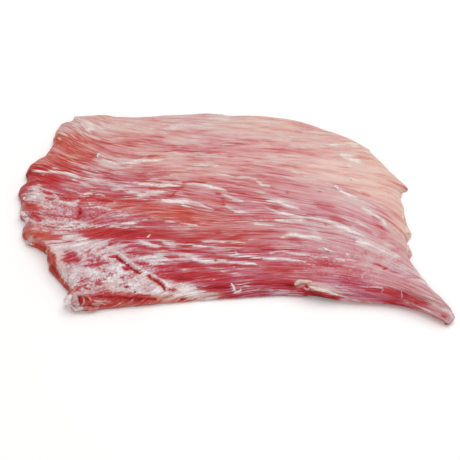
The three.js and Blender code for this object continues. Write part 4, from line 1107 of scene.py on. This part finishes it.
def strand(stops, radii, sides, count, seed, rough=0.25):
    # a closed, slightly lumpy strand of flesh along a smooth curve
    line = curvePoints(stops, count)
    size = curvePoints([[r] for r in radii], count)[:, 0]
    tangent = np.gradient(line, axis=0)
    tangent /= np.linalg.norm(tangent, axis=-1, keepdims=True)
    side = np.cross(tangent, [0, 0, 1.0]) + 1e-6
    side /= np.linalg.norm(side, axis=-1, keepdims=True)
    over = np.cross(side, tangent)
    turn = 2 * np.pi * np.arange(sides) / sides
    lumps = 1 + rough * 2 * (
        lattice(*np.meshgrid(np.arange(count) * 0.7, np.arange(sides) * 0.9, indexing="ij"), seed) - 0.5)
    ring = side[:, None] * np.cos(turn)[None, :, None] + over[:, None] * np.sin(turn)[None, :, None]
    points = line[:, None] + ring * (size[:, None] * lumps)[..., None]
    ends = np.stack([line[0] - tangent[0] * size[0] * 0.7, line[-1] + tangent[-1] * size[-1] * 0.7])
    index = np.arange(count * sides).reshape(count, sides)
    after = np.roll(index, -1, 1)
    faces = np.stack([index[1:], after[1:], after[:-1], index[:-1]], -1).reshape(-1, 4).tolist()
    first, last = count * sides, count * sides + 1
    faces += [(first, int(a), int(b)) for a, b in zip(index[0], after[0])]
    faces += [(last, int(b), int(a)) for a, b in zip(index[-1], after[-1])]
    return np.concatenate([points.reshape(-1, 3), ends]), faces


def atPixel(x, y, height):
    # the place at this height over the floor that the photograph shows at a pixel
    corners = np.array([[0, 0, height], [1, 0, height], [0, 1, height]], float)
    place = np.array([0.0, 0.0, height])
    for _ in range(6):
        seen = photoPixel(corners + place * (1, 1, 0))
        place[:2] += np.linalg.solve((seen[1:] - seen[0]).T, np.array([x, y]) - seen[0])
    return place


def onFlesh(x, y, lift):
    # the place on the flank that the photograph shows at a pixel, raised towards the viewer
    away = gap(meshPixels, np.array([x, y], float))
    close = np.flatnonzero(away < max(1.3, away.min() + 0.1))
    seen = points[close[np.argmax(points[close, 2])]]
    toViewer = 1000 * np.array(camera["place"]) - seen
    return seen + lift * toViewer / np.linalg.norm(toViewer)


def makeObject(name, points, faces, channels, material):
    mesh = bpy.data.meshes.new(name)
    mesh.from_pydata((points / 1000).tolist(), [], faces)
    for label, values in zip(("paleness", "warmth", "fat", "crumb"), channels.T[2:]):
        attribute = mesh.attributes.new(label, "FLOAT", "POINT")
        attribute.data.foreach_set("value", values.astype(np.float32))
    lane = grainCoordinate(channels[:, 0], channels[:, 1])
    unrolled = np.stack([channels[:, 0] * flank["fibreLength"] / 100, lane * flank["fanWidth"] / 100], -1)
    corner = np.empty(len(mesh.loops), int)
    mesh.loops.foreach_get("vertex_index", corner)
    mesh.uv_layers.new(name="fibreMap").data.foreach_set("uv", unrolled[corner].astype(np.float32).ravel())
    mesh.shade_smooth()
    mesh.materials.append(material)
    made = bpy.data.objects.new(name, mesh)
    bpy.context.scene.collection.objects.link(made)
    return made


def addNode(tree, kind, settings=None, values=None, links=None):
    node = tree.nodes.new(kind)
    for name, value in (settings or {}).items():
        setattr(node, name, value)
    for socket, value in (values or {}).items():
        node.inputs[socket].default_value = value
    for socket, source in (links or {}).items():
        tree.links.new(source, node.inputs[socket])
    return node


def colourRamp(tree, factor, stops):
    ramp = addNode(tree, "ShaderNodeValToRGB", links={"Fac": factor})
    elements = ramp.color_ramp.elements
    while len(elements) < len(stops):
        elements.new(0.5)
    for element, (position, code) in zip(elements, stops):
        element.position = position
        element.color = hexColour(code)
    return ramp.outputs["Color"]


pork = {
    # each lean ramp's near-black lowest stop is reached where cuts and painted shade push the paleness
    # towards 0
    "coolLean": [(0, "#5A0208"), (0.12, "#AA0C1C"), (0.25, "#A7263D"), (0.4, "#AB4D66"), (0.6, "#BD7F96"),
                 (0.8, "#C8A3B2"), (1, "#D6BCC6")],
    "warmLean": [(0, "#5C0402"), (0.12, "#AE140C"), (0.25, "#B53424"), (0.4, "#BB5848"), (0.6, "#C98579"),
                 (0.8, "#D6A89B"), (1, "#E6C6B7")],
    # in the fat ramps the dark lilac-grey ends stand for painted shade between the crumbs, and the near-white
    # ends for painted highlights on them
    "coolFat": [(0, "#9C828F"), (0.5, "#B8A1AB"), (0.8, "#CAB8BF"), (1, "#E6DDE1")],
    "warmFat": [(0, "#AC8E80"), (0.5, "#C9AFA2"), (0.8, "#D8C4B9"), (1, "#ECE2DB")],
    "strandWidth": 1.1,    # mm; real muscle fibres are far finer, drawn as coarse as the render shows
    "strandLength": 17,
    "crumbSize": 1.6,      # mm, lumps of the crumbled fat
    "patchSize": 13,       # mm, patches where the strands show more or less, and by how much
    "patchSwing": (0.55, 1.4),
    "roughness": (0.42, 0.6),
    "bumpDepth": 0.0005,
    "edgeSwing": 1.5,      # how far the strands carry the fat's edge in and out
    "leanSwing": 1.0,     # how far the strands lighten and darken the muscle
}


def porkMaterial(name):
    # raw pork under a wet membrane: satin muscle with fine pale strands, and duller crumbly fat
    material = bpy.data.materials.new(name)
    material.use_nodes = True
    tree = material.node_tree
    tree.nodes.clear()
    fibreMap = addNode(tree, "ShaderNodeUVMap", {"uv_map": "fibreMap"})
    strandScale = (100 / pork["strandLength"], 100 / pork["strandWidth"], 1)
    strandPlace = addNode(tree, "ShaderNodeMapping", values={"Scale": strandScale},
                          links={"Vector": fibreMap.outputs["UV"]})
    strands = addNode(
        tree, "ShaderNodeTexNoise", values={"Scale": 1, "Detail": 3, "Roughness": 0.6, "Distortion": 0.5},
        links={"Vector": strandPlace.outputs["Vector"]}).outputs["Fac"]
    objectPlace = addNode(tree, "ShaderNodeTexCoord").outputs["Object"]
    grains = addNode(
        tree, "ShaderNodeTexNoise", values={"Scale": 1000 / pork["crumbSize"], "Detail": 3, "Roughness": 0.6},
        links={"Vector": objectPlace}).outputs["Fac"]
    paleness, warmth, fat, crumb = [
        addNode(tree, "ShaderNodeAttribute", {"attribute_name": label}).outputs["Fac"]
        for label in ("paleness", "warmth", "fat", "crumb")]

    def mathNode(operation, *values):
        node = addNode(tree, "ShaderNodeMath", {"operation": operation})
        for socket, value in enumerate(values):
            if isinstance(value, (int, float)):
                node.inputs[socket].default_value = value
            else:
                tree.links.new(value, node.inputs[socket])
        return node.outputs[0]

    # strands on the muscle, crumbs on the pad, both about zero
    detail = addNode(tree, "ShaderNodeMix", {"data_type": "FLOAT"},
                     links={"Factor": crumb, 2: strands, 3: grains}).outputs[0]
    patches = addNode(tree, "ShaderNodeTexNoise", values={"Scale": 1000 / pork["patchSize"], "Detail": 1},
                      links={"Vector": objectPlace}).outputs["Fac"]
    strength = addNode(tree, "ShaderNodeMapRange", values={
        "From Min": 0.35, "From Max": 0.65, "To Min": pork["patchSwing"][0], "To Max": pork["patchSwing"][1]},
        links={"Value": patches}).outputs["Result"]
    swing = mathNode(
        "MULTIPLY", mathNode("SUBTRACT", detail, 0.5), mathNode("MULTIPLY_ADD", paleness, -1.6, 1.95))
    swing = mathNode("MULTIPLY", swing, strength)
    leanTone = mathNode("MULTIPLY_ADD", swing, pork["leanSwing"], paleness)
    leanTone = mathNode("MAXIMUM", leanTone, mathNode("MULTIPLY", paleness, 0.6))
    brokenFat = mathNode("MULTIPLY_ADD", swing, pork["edgeSwing"], fat)
    sharpCover = addNode(tree, "ShaderNodeMapRange", {"interpolation_type": "SMOOTHSTEP"},
                         {"From Min": 0.35, "From Max": 0.65}, {"Value": brokenFat}).outputs["Result"]
    fatCover = mathNode("MULTIPLY_ADD", sharpCover, 0.65, mathNode("MULTIPLY", fat, 0.35))
    # the crumb noise moves the fat's tone between painted shade in the hollows and painted highlight on the
    # tops
    fatTone = mathNode("MULTIPLY_ADD", mathNode("SUBTRACT", grains, 0.5), 0.5, brokenFat)
    lean = addNode(tree, "ShaderNodeMix", {"data_type": "RGBA"}, links={
        "Factor": warmth, 6: colourRamp(tree, leanTone, pork["coolLean"]),
        7: colourRamp(tree, leanTone, pork["warmLean"])}).outputs[2]
    fatColour = addNode(tree, "ShaderNodeMix", {"data_type": "RGBA"}, links={
        "Factor": warmth, 6: colourRamp(tree, fatTone, pork["coolFat"]),
        7: colourRamp(tree, fatTone, pork["warmFat"])}).outputs[2]
    colour = addNode(tree, "ShaderNodeMix", {"data_type": "RGBA"},
                     links={"Factor": fatCover, 6: lean, 7: fatColour}).outputs[2]
    roughness = addNode(tree, "ShaderNodeMapRange",
                        values={"To Min": pork["roughness"][0], "To Max": pork["roughness"][1]},
                        links={"Value": mathNode("MULTIPLY_ADD", fatCover, 0.6, swing)}).outputs["Result"]
    height = mathNode("ADD", mathNode("MULTIPLY", strands, mathNode("SUBTRACT", 1.1, fatCover)),
                      mathNode("MULTIPLY", grains, mathNode("MULTIPLY_ADD", fatCover, 0.8, 0.25)))
    bump = addNode(tree, "ShaderNodeBump", values={"Strength": 0.7, "Distance": pork["bumpDepth"]},
                   links={"Height": height}).outputs["Normal"]
    shader = addNode(tree, "ShaderNodeBsdfPrincipled",
                     values={"IOR": 1.4, "Specular IOR Level": 0.22, "Subsurface Weight": 0.08,
                             "Subsurface Radius": (0.003, 0.001, 0.0008), "Subsurface Scale": 1,
                             "Coat Weight": 0.06, "Coat Roughness": 0.15},
                     links={"Base Color": colour, "Roughness": roughness, "Normal": bump})
    addNode(tree, "ShaderNodeOutputMaterial", links={"Surface": shader.outputs["BSDF"]})
    return material


points, faces, channels = sheetMesh()
topPoints = points[:(flank["cellsAlong"] + 1) * (flank["cellsAcross"] + 1)]
meshPixels = photoPixel(points)
muscle = porkMaterial("rawPorkFlank")
pieces = [(points, faces, channels)]


def addBit(bitPoints, bitFaces, paint):
    bitPoints[:, 2] = np.clip(bitPoints[:, 2], 0.02, flank["highest"])
    # its place along and across is where the nearest point of the top is, so its grain follows the sheet's
    first = np.argmin(gap(topPoints, bitPoints[0]))
    values = np.tile([*channels[first, :2], *paint], (len(bitPoints), 1)).astype(float)
    values[:, :2] += (bitPoints - bitPoints[0])[:, :2] / (flank["fibreLength"], flank["fanWidth"])
    pieces.append((bitPoints, bitFaces, values))


def addStrand(stops, radii, paint, seed, sides=10, rough=0.3):
    count = 4 * len(stops)
    addBit(*strand(stops, radii, sides, count, seed, rough), paint)


def addFlake(outline, thickness, paint, seed):
    # a thin ragged flake: its outline is cut finer and shaken, then closed above and below
    corners = np.array(outline, float)
    sides = [corners + (np.roll(corners, -1, 0) - corners) * t for t in (0, 0.33, 0.67)]
    rim = np.stack(sides, 1).reshape(-1, 3)
    shake = np.random.default_rng(seed).uniform(-1, 1, rim.shape)
    rim += shake * (0.5, 0.5, 0.2)
    middle = rim.mean(0)
    inner = middle + 0.55 * (rim - middle) + shake[::-1] * (0.3, 0.3, 0.35)
    count = len(rim)
    rings = [
        inner + (0, 0, thickness), rim + (0, 0, 0.3 * thickness),
        rim - (0, 0, 0.3 * thickness), inner - (0, 0, thickness)]
    flakePoints = np.concatenate([*rings, [middle + (0, 0, thickness)], [middle - (0, 0, thickness)]])
    turn = np.roll(np.arange(count), -1)
    clockwise = np.cross(rim - middle, np.roll(rim, -1, 0) - middle)[:, 2].sum() < 0
    flakeFaces = [(4 * count, i, int(turn[i])) for i in range(count)]
    for k in range(3):
        flakeFaces += [
            (k * count + i, (k + 1) * count + i, int((k + 1) * count + turn[i]), int(k * count + turn[i]))
            for i in range(count)]
    flakeFaces += [(4 * count + 1, int(3 * count + turn[i]), 3 * count + i) for i in range(count)]
    if clockwise:
        flakeFaces = [face[::-1] for face in flakeFaces]
    addBit(flakePoints, flakeFaces, paint)


# rolled and loose bits of the flank: paleness, warmth, fat and crumb, radii in mm, then pixels
knobBits = {
    "whiteRoll": ((0.66, 0.6, 0.9, 0.15), (2.0, 2.8, 2.7, 2.0, 1.2), (70.2, 297.8), (68.6, 300.6),
        (69.8, 303.6), (73.4, 306.4), (78.6, 307.6)),
    "pinkRoll": ((0.62, 0.5, 0.55, 0.15), (1.7, 2.2, 2.2, 1.6), (74.4, 296), (74.8, 299.6), (75.6, 303),
        (78, 305.6)),
    "paleFoot": ((0.62, 0.6, 0.7, 0.15), (1.0, 1.6, 1.5, 0.9), (71.5, 306.4), (75, 308.2),
        (79.5, 308.8), (84, 307.8)),
    "cornerCurl": ((0.5, 0.9, 0.3, 0.1), (0.9, 1.4, 1.5, 0.9), (82, 309), (87, 308.4), (93, 308.6),
        (98, 307.6)),
    "darkCore": ((0.12, 0.85, 0, 0.2), (0.7, 1, 0.6), (79.6, 298), (80.6, 300.6), (79.8, 303.4)),
    "whiteArc": ((0.55, 0.85, 0.5, 0.2), (0.4, 0.6, 0.8, 0.6), (82, 297.2), (83.4, 300.2),
        (83.4, 303.6), (80.6, 306.2)),
    "orangeLoop": ((0.5, 1, 0.3, 0.1), (0.5, 0.8, 0.8, 0.5), (83, 296.6), (87, 297.4), (90.4, 299.6),
        (91.6, 303)),
    "redEnd": ((0.22, 0.95, 0.02, 0.1), (0.8, 1.2, 0.8), (86, 300.4), (88.6, 302), (90.4, 304.6)),
    "peachFoot": ((0.6, 0.95, 0.35, 0.1), (0.4, 0.6, 0.6, 0.4), (90, 303.8), (95, 304.6), (101, 304.2),
        (107, 304.8)),
    "topRoll": ((0.5, 0.5, 0.5, 0.15), (1, 1.5, 1), (73, 294.4), (78, 295.2), (84, 295)),
}
tongueBits = {
    "tongue": ((0.95, 0.8, 0.65, 0.1), (0.9, 1.5, 1.4, 1.1, 0.7), (294.6, 285.4), (297, 283.2),
        (301, 282.2), (306, 282), (311, 283)),
    "lipEdge": ((0.95, 0.75, 0.85, 0.1), (0.5, 0.9, 1, 0.8, 0.4), (309.5, 287.2), (317, 289.8),
        (325, 291.8), (332, 293.8), (338, 296.2)),
    "tongueFoot": ((0.6, 0.6, 0.3, 0.1), (0.6, 0.9, 0.6), (304, 288.6), (306, 289.8), (308.4, 289.4)),
}
tufts = {
    "farTuft": ((0.5, 0.5, 1, 0), (0.35, 0.55, 0.3), (97.2, 157.3), (97.6, 156), (98.6, 154.4)),
    "rightTuft": ((0.5, 0.4, 1, 0), (0.35, 0.7, 0.45, 0.2), (334.5, 186.6), (336, 187.8),
        (337.3, 189.4), (336.6, 190.6)),
    "frontTuft": ((0.5, 0.6, 1, 0), (0.3, 0.6, 0.75, 0.3), (231.4, 284.2), (231.9, 286.5),
        (233.2, 288.6), (235.4, 291)),
    "frontCurl": ((0.5, 0.6, 1, 0), (0.25, 0.4, 0.4, 0.25), (234.2, 293), (238, 292.6), (240.5, 291.4),
        (241, 289.8)),
    "bandTuft": ((0.5, 0.5, 1, 0), (0.4, 0.6, 0.3), (147.2, 237), (148.3, 236.2), (149.6, 235)),
    "beads": ((0.5, 0.6, 1, 0), (0.35, 0.55, 0.35, 0.45), (322.8, 248.8), (325, 249), (327.5, 250.6),
        (331.5, 252.3)),
    "upright": ((0.5, 0.5, 0.95, 0), (0.3, 0.5, 0.3), (351.4, 180.4), (351.7, 179), (352, 177.6)),
    "hook": ((0.5, 0.5, 0.95, 0), (0.3, 0.5, 0.4), (235.2, 252), (237.2, 253.8), (235.4, 256)),
    "tailCross": ((0.6, 0.4, 0.7, 0), (0.2, 0.3, 0.2), (401, 291.5), (401.6, 295), (401.4, 299)),
    "tailHook": ((0.6, 0.4, 0.7, 0), (0.2, 0.3, 0.25, 0.2), (371, 288.4), (377, 287.2), (383, 288),
        (381.8, 293)),
}
# thin flakes of membrane on the torn edges: paint, thickness in mm, height in mm, then the outline in pixels
flakes = {
    "leftUpper": ((0.6, 0.55, 0.9, 0.4), 0.5, 6.9, (19, 213.6), (22, 211), (27, 209.8), (33, 211.5),
        (37, 215.5), (30, 217), (24.5, 216)),
    "leftMiddle": ((0.6, 0.4, 0.85, 0.4), 0.5, 6.9, (23.5, 219.4), (28, 216.6), (34, 217), (39, 221),
        (33, 224), (27.5, 223)),
    "leftLower": ((0.62, 0.6, 0.75, 0.3), 0.5, 3.4, (25, 241.5), (28, 238.6), (34, 240.6), (39, 244),
        (31, 244.8)),
    "leftTop": ((0.6, 0.5, 0.97, 0.4), 0.6, 7.6, (22.5, 198), (26, 196.4), (31, 197.4), (32, 200),
        (26, 201.4)),
    "rightUpper": ((0.95, 0.95, 0.15, 0.1), 0.4, 5.1, (400.5, 225.5), (405.5, 226), (411, 233.6),
        (406, 232.6), (404, 236.5), (400.5, 233)),
    "rightLower": ((0.9, 0.9, 0.15, 0.1), 0.4, 5.5, (402.5, 243), (408.6, 245.5), (410.3, 250),
        (407.2, 252), (406, 256.5), (402.5, 251)),
    "rightNotch": ((0.95, 0.95, 0.15, 0.1), 0.4, 5.1, (399, 213), (402.8, 212), (404.2, 216.5),
        (402.4, 221), (399.5, 219)),
}
for number, (paint, radii, *stops) in enumerate([*knobBits.values(), *tongueBits.values()]):
    places = [onFlesh(*stop, 0.3 * radius) for stop, radius in zip(stops, radii)]
    addStrand(places, radii, paint, 101 + 2 * number, 14)
for number, (paint, radii, *stops) in enumerate(tufts.values()):
    places = [onFlesh(*stop, 0.5 * radius) for stop, radius in zip(stops, radii)]
    addStrand(places, radii, paint, 141 + 2 * number, 7)
for number, (paint, thickness, height, *outline) in enumerate(flakes.values()):
    addFlake([atPixel(*corner, height) for corner in outline], thickness, paint, 171 + number)

start, allFaces = 0, []
for somePoints, someFaces, _ in pieces:
    allFaces += [tuple(v + start for v in face) for face in someFaces]
    start += len(somePoints)
flankPiece = makeObject("pork_flank_meat", np.concatenate([p[0] for p in pieces]), allFaces,
                        np.concatenate([p[2] for p in pieces]), muscle)
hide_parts("pork_flank")
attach(flankPiece, "root")
print("flank:", len(flankPiece.data.vertices), "points,", sum(len(f) - 2 for f in allFaces), "triangles")


fatCrumbs = {
    "sizeSmall": 0.2,    # mm, radius of the smallest and largest crumbs
    "sizeLarge": 0.6,
    "spacing": 0.9,    # mm, no two crumbs stand closer
    "perSquareMetre": 260000,
    "sunk": 0.3,    # share of its radius that a crumb sits in the fat
    "seed": 12,
    "slant": (1.7, 0.8, 0.6),
    "tintScale": 420,
    "colour": [(0.3, "#C3ABB4"), (0.5, "#D9CCD0"), (0.7, "#EFE8EA")],
}


def crumbMaterial(name):
    # crumbled fat: dull off-white lumps, some with a breath of pink
    material = bpy.data.materials.new(name)
    material.use_nodes = True
    tree = material.node_tree
    tree.nodes.clear()
    objectPlace = addNode(tree, "ShaderNodeTexCoord").outputs["Object"]
    patches = addNode(
        tree, "ShaderNodeTexNoise", values={"Scale": fatCrumbs["tintScale"], "Detail": 2},
        links={"Vector": objectPlace})
    colour = colourRamp(tree, patches.outputs["Fac"], fatCrumbs["colour"])
    shader = addNode(tree, "ShaderNodeBsdfPrincipled",
                     values={"Roughness": 0.6, "Specular IOR Level": 0.2, "Subsurface Weight": 0.1,
                             "Subsurface Radius": (0.002, 0.0012, 0.001), "Subsurface Scale": 1},
                     links={"Base Color": colour})
    addNode(tree, "ShaderNodeOutputMaterial", links={"Surface": shader.outputs["BSDF"]})
    return material


def crumbTree(material):
    # strews turned, flattened lumps where the fat is crumbly
    tree = bpy.data.node_groups.new("strewCrumbs", "GeometryNodeTree")
    socket = tree.interface.new_socket
    socket("Geometry", in_out="INPUT", socket_type="NodeSocketGeometry")
    for label in ("Spacing", "Density", "Smallest", "Largest", "Sunk"):
        socket(label, in_out="INPUT", socket_type="NodeSocketFloat")
    socket("Seed", in_out="INPUT", socket_type="NodeSocketInt")
    socket("Geometry", in_out="OUTPUT", socket_type="NodeSocketGeometry")
    given = addNode(tree, "NodeGroupInput").outputs
    crumbly = addNode(tree, "GeometryNodeInputNamedAttribute", {"data_type": "FLOAT"}, {"Name": "crumb"})
    fatty = addNode(tree, "GeometryNodeInputNamedAttribute", {"data_type": "FLOAT"}, {"Name": "fat"})
    both = addNode(tree, "ShaderNodeMath", {"operation": "MULTIPLY"},
                   links={0: crumbly.outputs["Attribute"], 1: fatty.outputs["Attribute"]})
    chosen = addNode(tree, "ShaderNodeMapRange", {"interpolation_type": "SMOOTHSTEP"},
                     {"From Min": 0.2, "From Max": 0.65}, {"Value": both.outputs[0]})
    strewn = addNode(tree, "GeometryNodeDistributePointsOnFaces", {"distribute_method": "POISSON"}, links={
        "Mesh": given["Geometry"], "Distance Min": given["Spacing"], "Density Max": given["Density"],
        "Density Factor": chosen.outputs["Result"], "Seed": given["Seed"]})
    down = addNode(
        tree, "ShaderNodeVectorMath", {"operation": "SCALE"}, links={"Vector": strewn.outputs["Normal"]})
    depth = addNode(tree, "ShaderNodeMath", {"operation": "MULTIPLY"}, {1: -1.0}, {0: given["Sunk"]})
    tree.links.new(depth.outputs[0], down.inputs["Scale"])
    placed = addNode(tree, "GeometryNodeSetPosition",
                     links={"Geometry": strewn.outputs["Points"], "Offset": down.outputs["Vector"]})
    lump = addNode(tree, "GeometryNodeMeshIcoSphere", values={"Radius": 1, "Subdivisions": 1})
    size = addNode(tree, "FunctionNodeRandomValue", {"data_type": "FLOAT"},
                   links={2: given["Smallest"], 3: given["Largest"], "Seed": given["Seed"]})
    flat = addNode(tree, "ShaderNodeVectorMath", {"operation": "SCALE"}, {0: fatCrumbs["slant"]},
                   {"Scale": size.outputs[1]})
    turn = addNode(tree, "FunctionNodeRandomValue", {"data_type": "FLOAT_VECTOR"},
                   {0: (-0.3, -0.3, -0.9), 1: (0.3, 0.3, 0.5)}, {"Seed": given["Seed"]})
    lumps = addNode(tree, "GeometryNodeInstanceOnPoints", links={
        "Points": placed.outputs["Geometry"], "Instance": lump.outputs["Mesh"], "Rotation": turn.outputs[0],
        "Scale": flat.outputs["Vector"]})
    real = addNode(tree, "GeometryNodeRealizeInstances", links={"Geometry": lumps.outputs["Instances"]})
    smooth = addNode(tree, "GeometryNodeSetShadeSmooth", links={"Geometry": real.outputs["Geometry"]})
    painted = addNode(
        tree, "GeometryNodeSetMaterial", {}, {"Material": material}, {"Geometry": smooth.outputs[0]})
    addNode(tree, "NodeGroupOutput", links={"Geometry": painted.outputs["Geometry"]})
    return tree


def strewCrumbs(name):
    ground = bpy.data.objects.new("crumbGround", flankPiece.data)
    bpy.context.scene.collection.objects.link(ground)
    tree = crumbTree(crumbMaterial("crumbledFat"))
    strew = ground.modifiers.new("strewCrumbs", "NODES")
    strew.node_group = tree
    wanted = {
        "Spacing": fatCrumbs["spacing"] / 1000, "Density": float(fatCrumbs["perSquareMetre"]),
        "Smallest": fatCrumbs["sizeSmall"] / 1000, "Largest": fatCrumbs["sizeLarge"] / 1000,
        "Sunk": fatCrumbs["sunk"] * fatCrumbs["sizeSmall"] / 1000, "Seed": fatCrumbs["seed"],
    }
    for item in tree.interface.items_tree:
        if item.in_out == "INPUT" and item.name in wanted:
            strew[item.identifier] = wanted[item.name]
    ready = ground.evaluated_get(bpy.context.evaluated_depsgraph_get())
    mesh = bpy.data.meshes.new_from_object(ready)
    bpy.data.objects.remove(ground)
    made = bpy.data.objects.new(name, mesh)
    bpy.context.scene.collection.objects.link(made)
    return made


crumbPiece = strewCrumbs("fat_crumbs")
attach(crumbPiece, "root")
print("crumbs:", len(crumbPiece.data.polygons), "faces")


studio = {
    "floorColour": "#F7F6F5",
    "floorSize": 12,
    "worldStrength": 0.54,
    "keyPlace": (0.35, 0.4, 1.25),
    "keySize": 1.3,
    "keyPower": 12.9,
    "fillPlace": (-0.4, -1.4, 1.0),
    "fillSize": 1.2,
    "fillPower": 6,
}


def addFloor():
    half = studio["floorSize"] / 2
    mesh = bpy.data.meshes.new("floor")
    corners = [(-half, -half, 0), (half, -half, 0), (half, half, 0), (-half, half, 0)]
    mesh.from_pydata(corners, [], [(0, 1, 2, 3)])
    paper = bpy.data.materials.new("paleFloor")
    paper.use_nodes = True
    shader = paper.node_tree.nodes["Principled BSDF"]
    shader.inputs["Base Color"].default_value = hexColour(studio["floorColour"])
    shader.inputs["Roughness"].default_value = 0.9
    shader.inputs["Specular IOR Level"].default_value = 0
    mesh.materials.append(paper)
    floor = bpy.data.objects.new("floor", mesh)
    bpy.context.scene.collection.objects.link(floor)


def addAreaLight(name, place, size, power):
    light = bpy.data.lights.new(name, "AREA")
    light.shape = "SQUARE"
    light.size = size
    light.energy = power
    lamp = bpy.data.objects.new(name, light)
    lamp.location = place
    lamp.rotation_euler = (-Vector(place)).to_track_quat("-Z", "Y").to_euler()
    bpy.context.scene.collection.objects.link(lamp)


def addCamera():
    data = bpy.data.cameras.new("photoCamera")
    data.lens = camera["lens"]
    data.sensor_width = camera["sensor"]
    data.clip_start, data.clip_end = 0.01, 20
    viewer = bpy.data.objects.new("photoCamera", data)
    viewer.location = camera["place"]
    aim = Vector(camera["target"]) - Vector(camera["place"])
    viewer.rotation_euler = aim.to_track_quat("-Z", "Y").to_euler()
    bpy.context.scene.collection.objects.link(viewer)
    bpy.context.scene.camera = viewer


addFloor()
addAreaLight("keyLight", studio["keyPlace"], studio["keySize"], studio["keyPower"])
addAreaLight("fillLight", studio["fillPlace"], studio["fillSize"], studio["fillPower"])
world = bpy.data.worlds.new("softSky")
world.use_nodes = True
world.node_tree.nodes["Background"].inputs["Color"].default_value = (1, 1, 1, 1)
world.node_tree.nodes["Background"].inputs["Strength"].default_value = studio["worldStrength"]
bpy.context.scene.world = world
bpy.context.scene.view_settings.view_transform = "Standard"
addCamera()
print("studio ready")
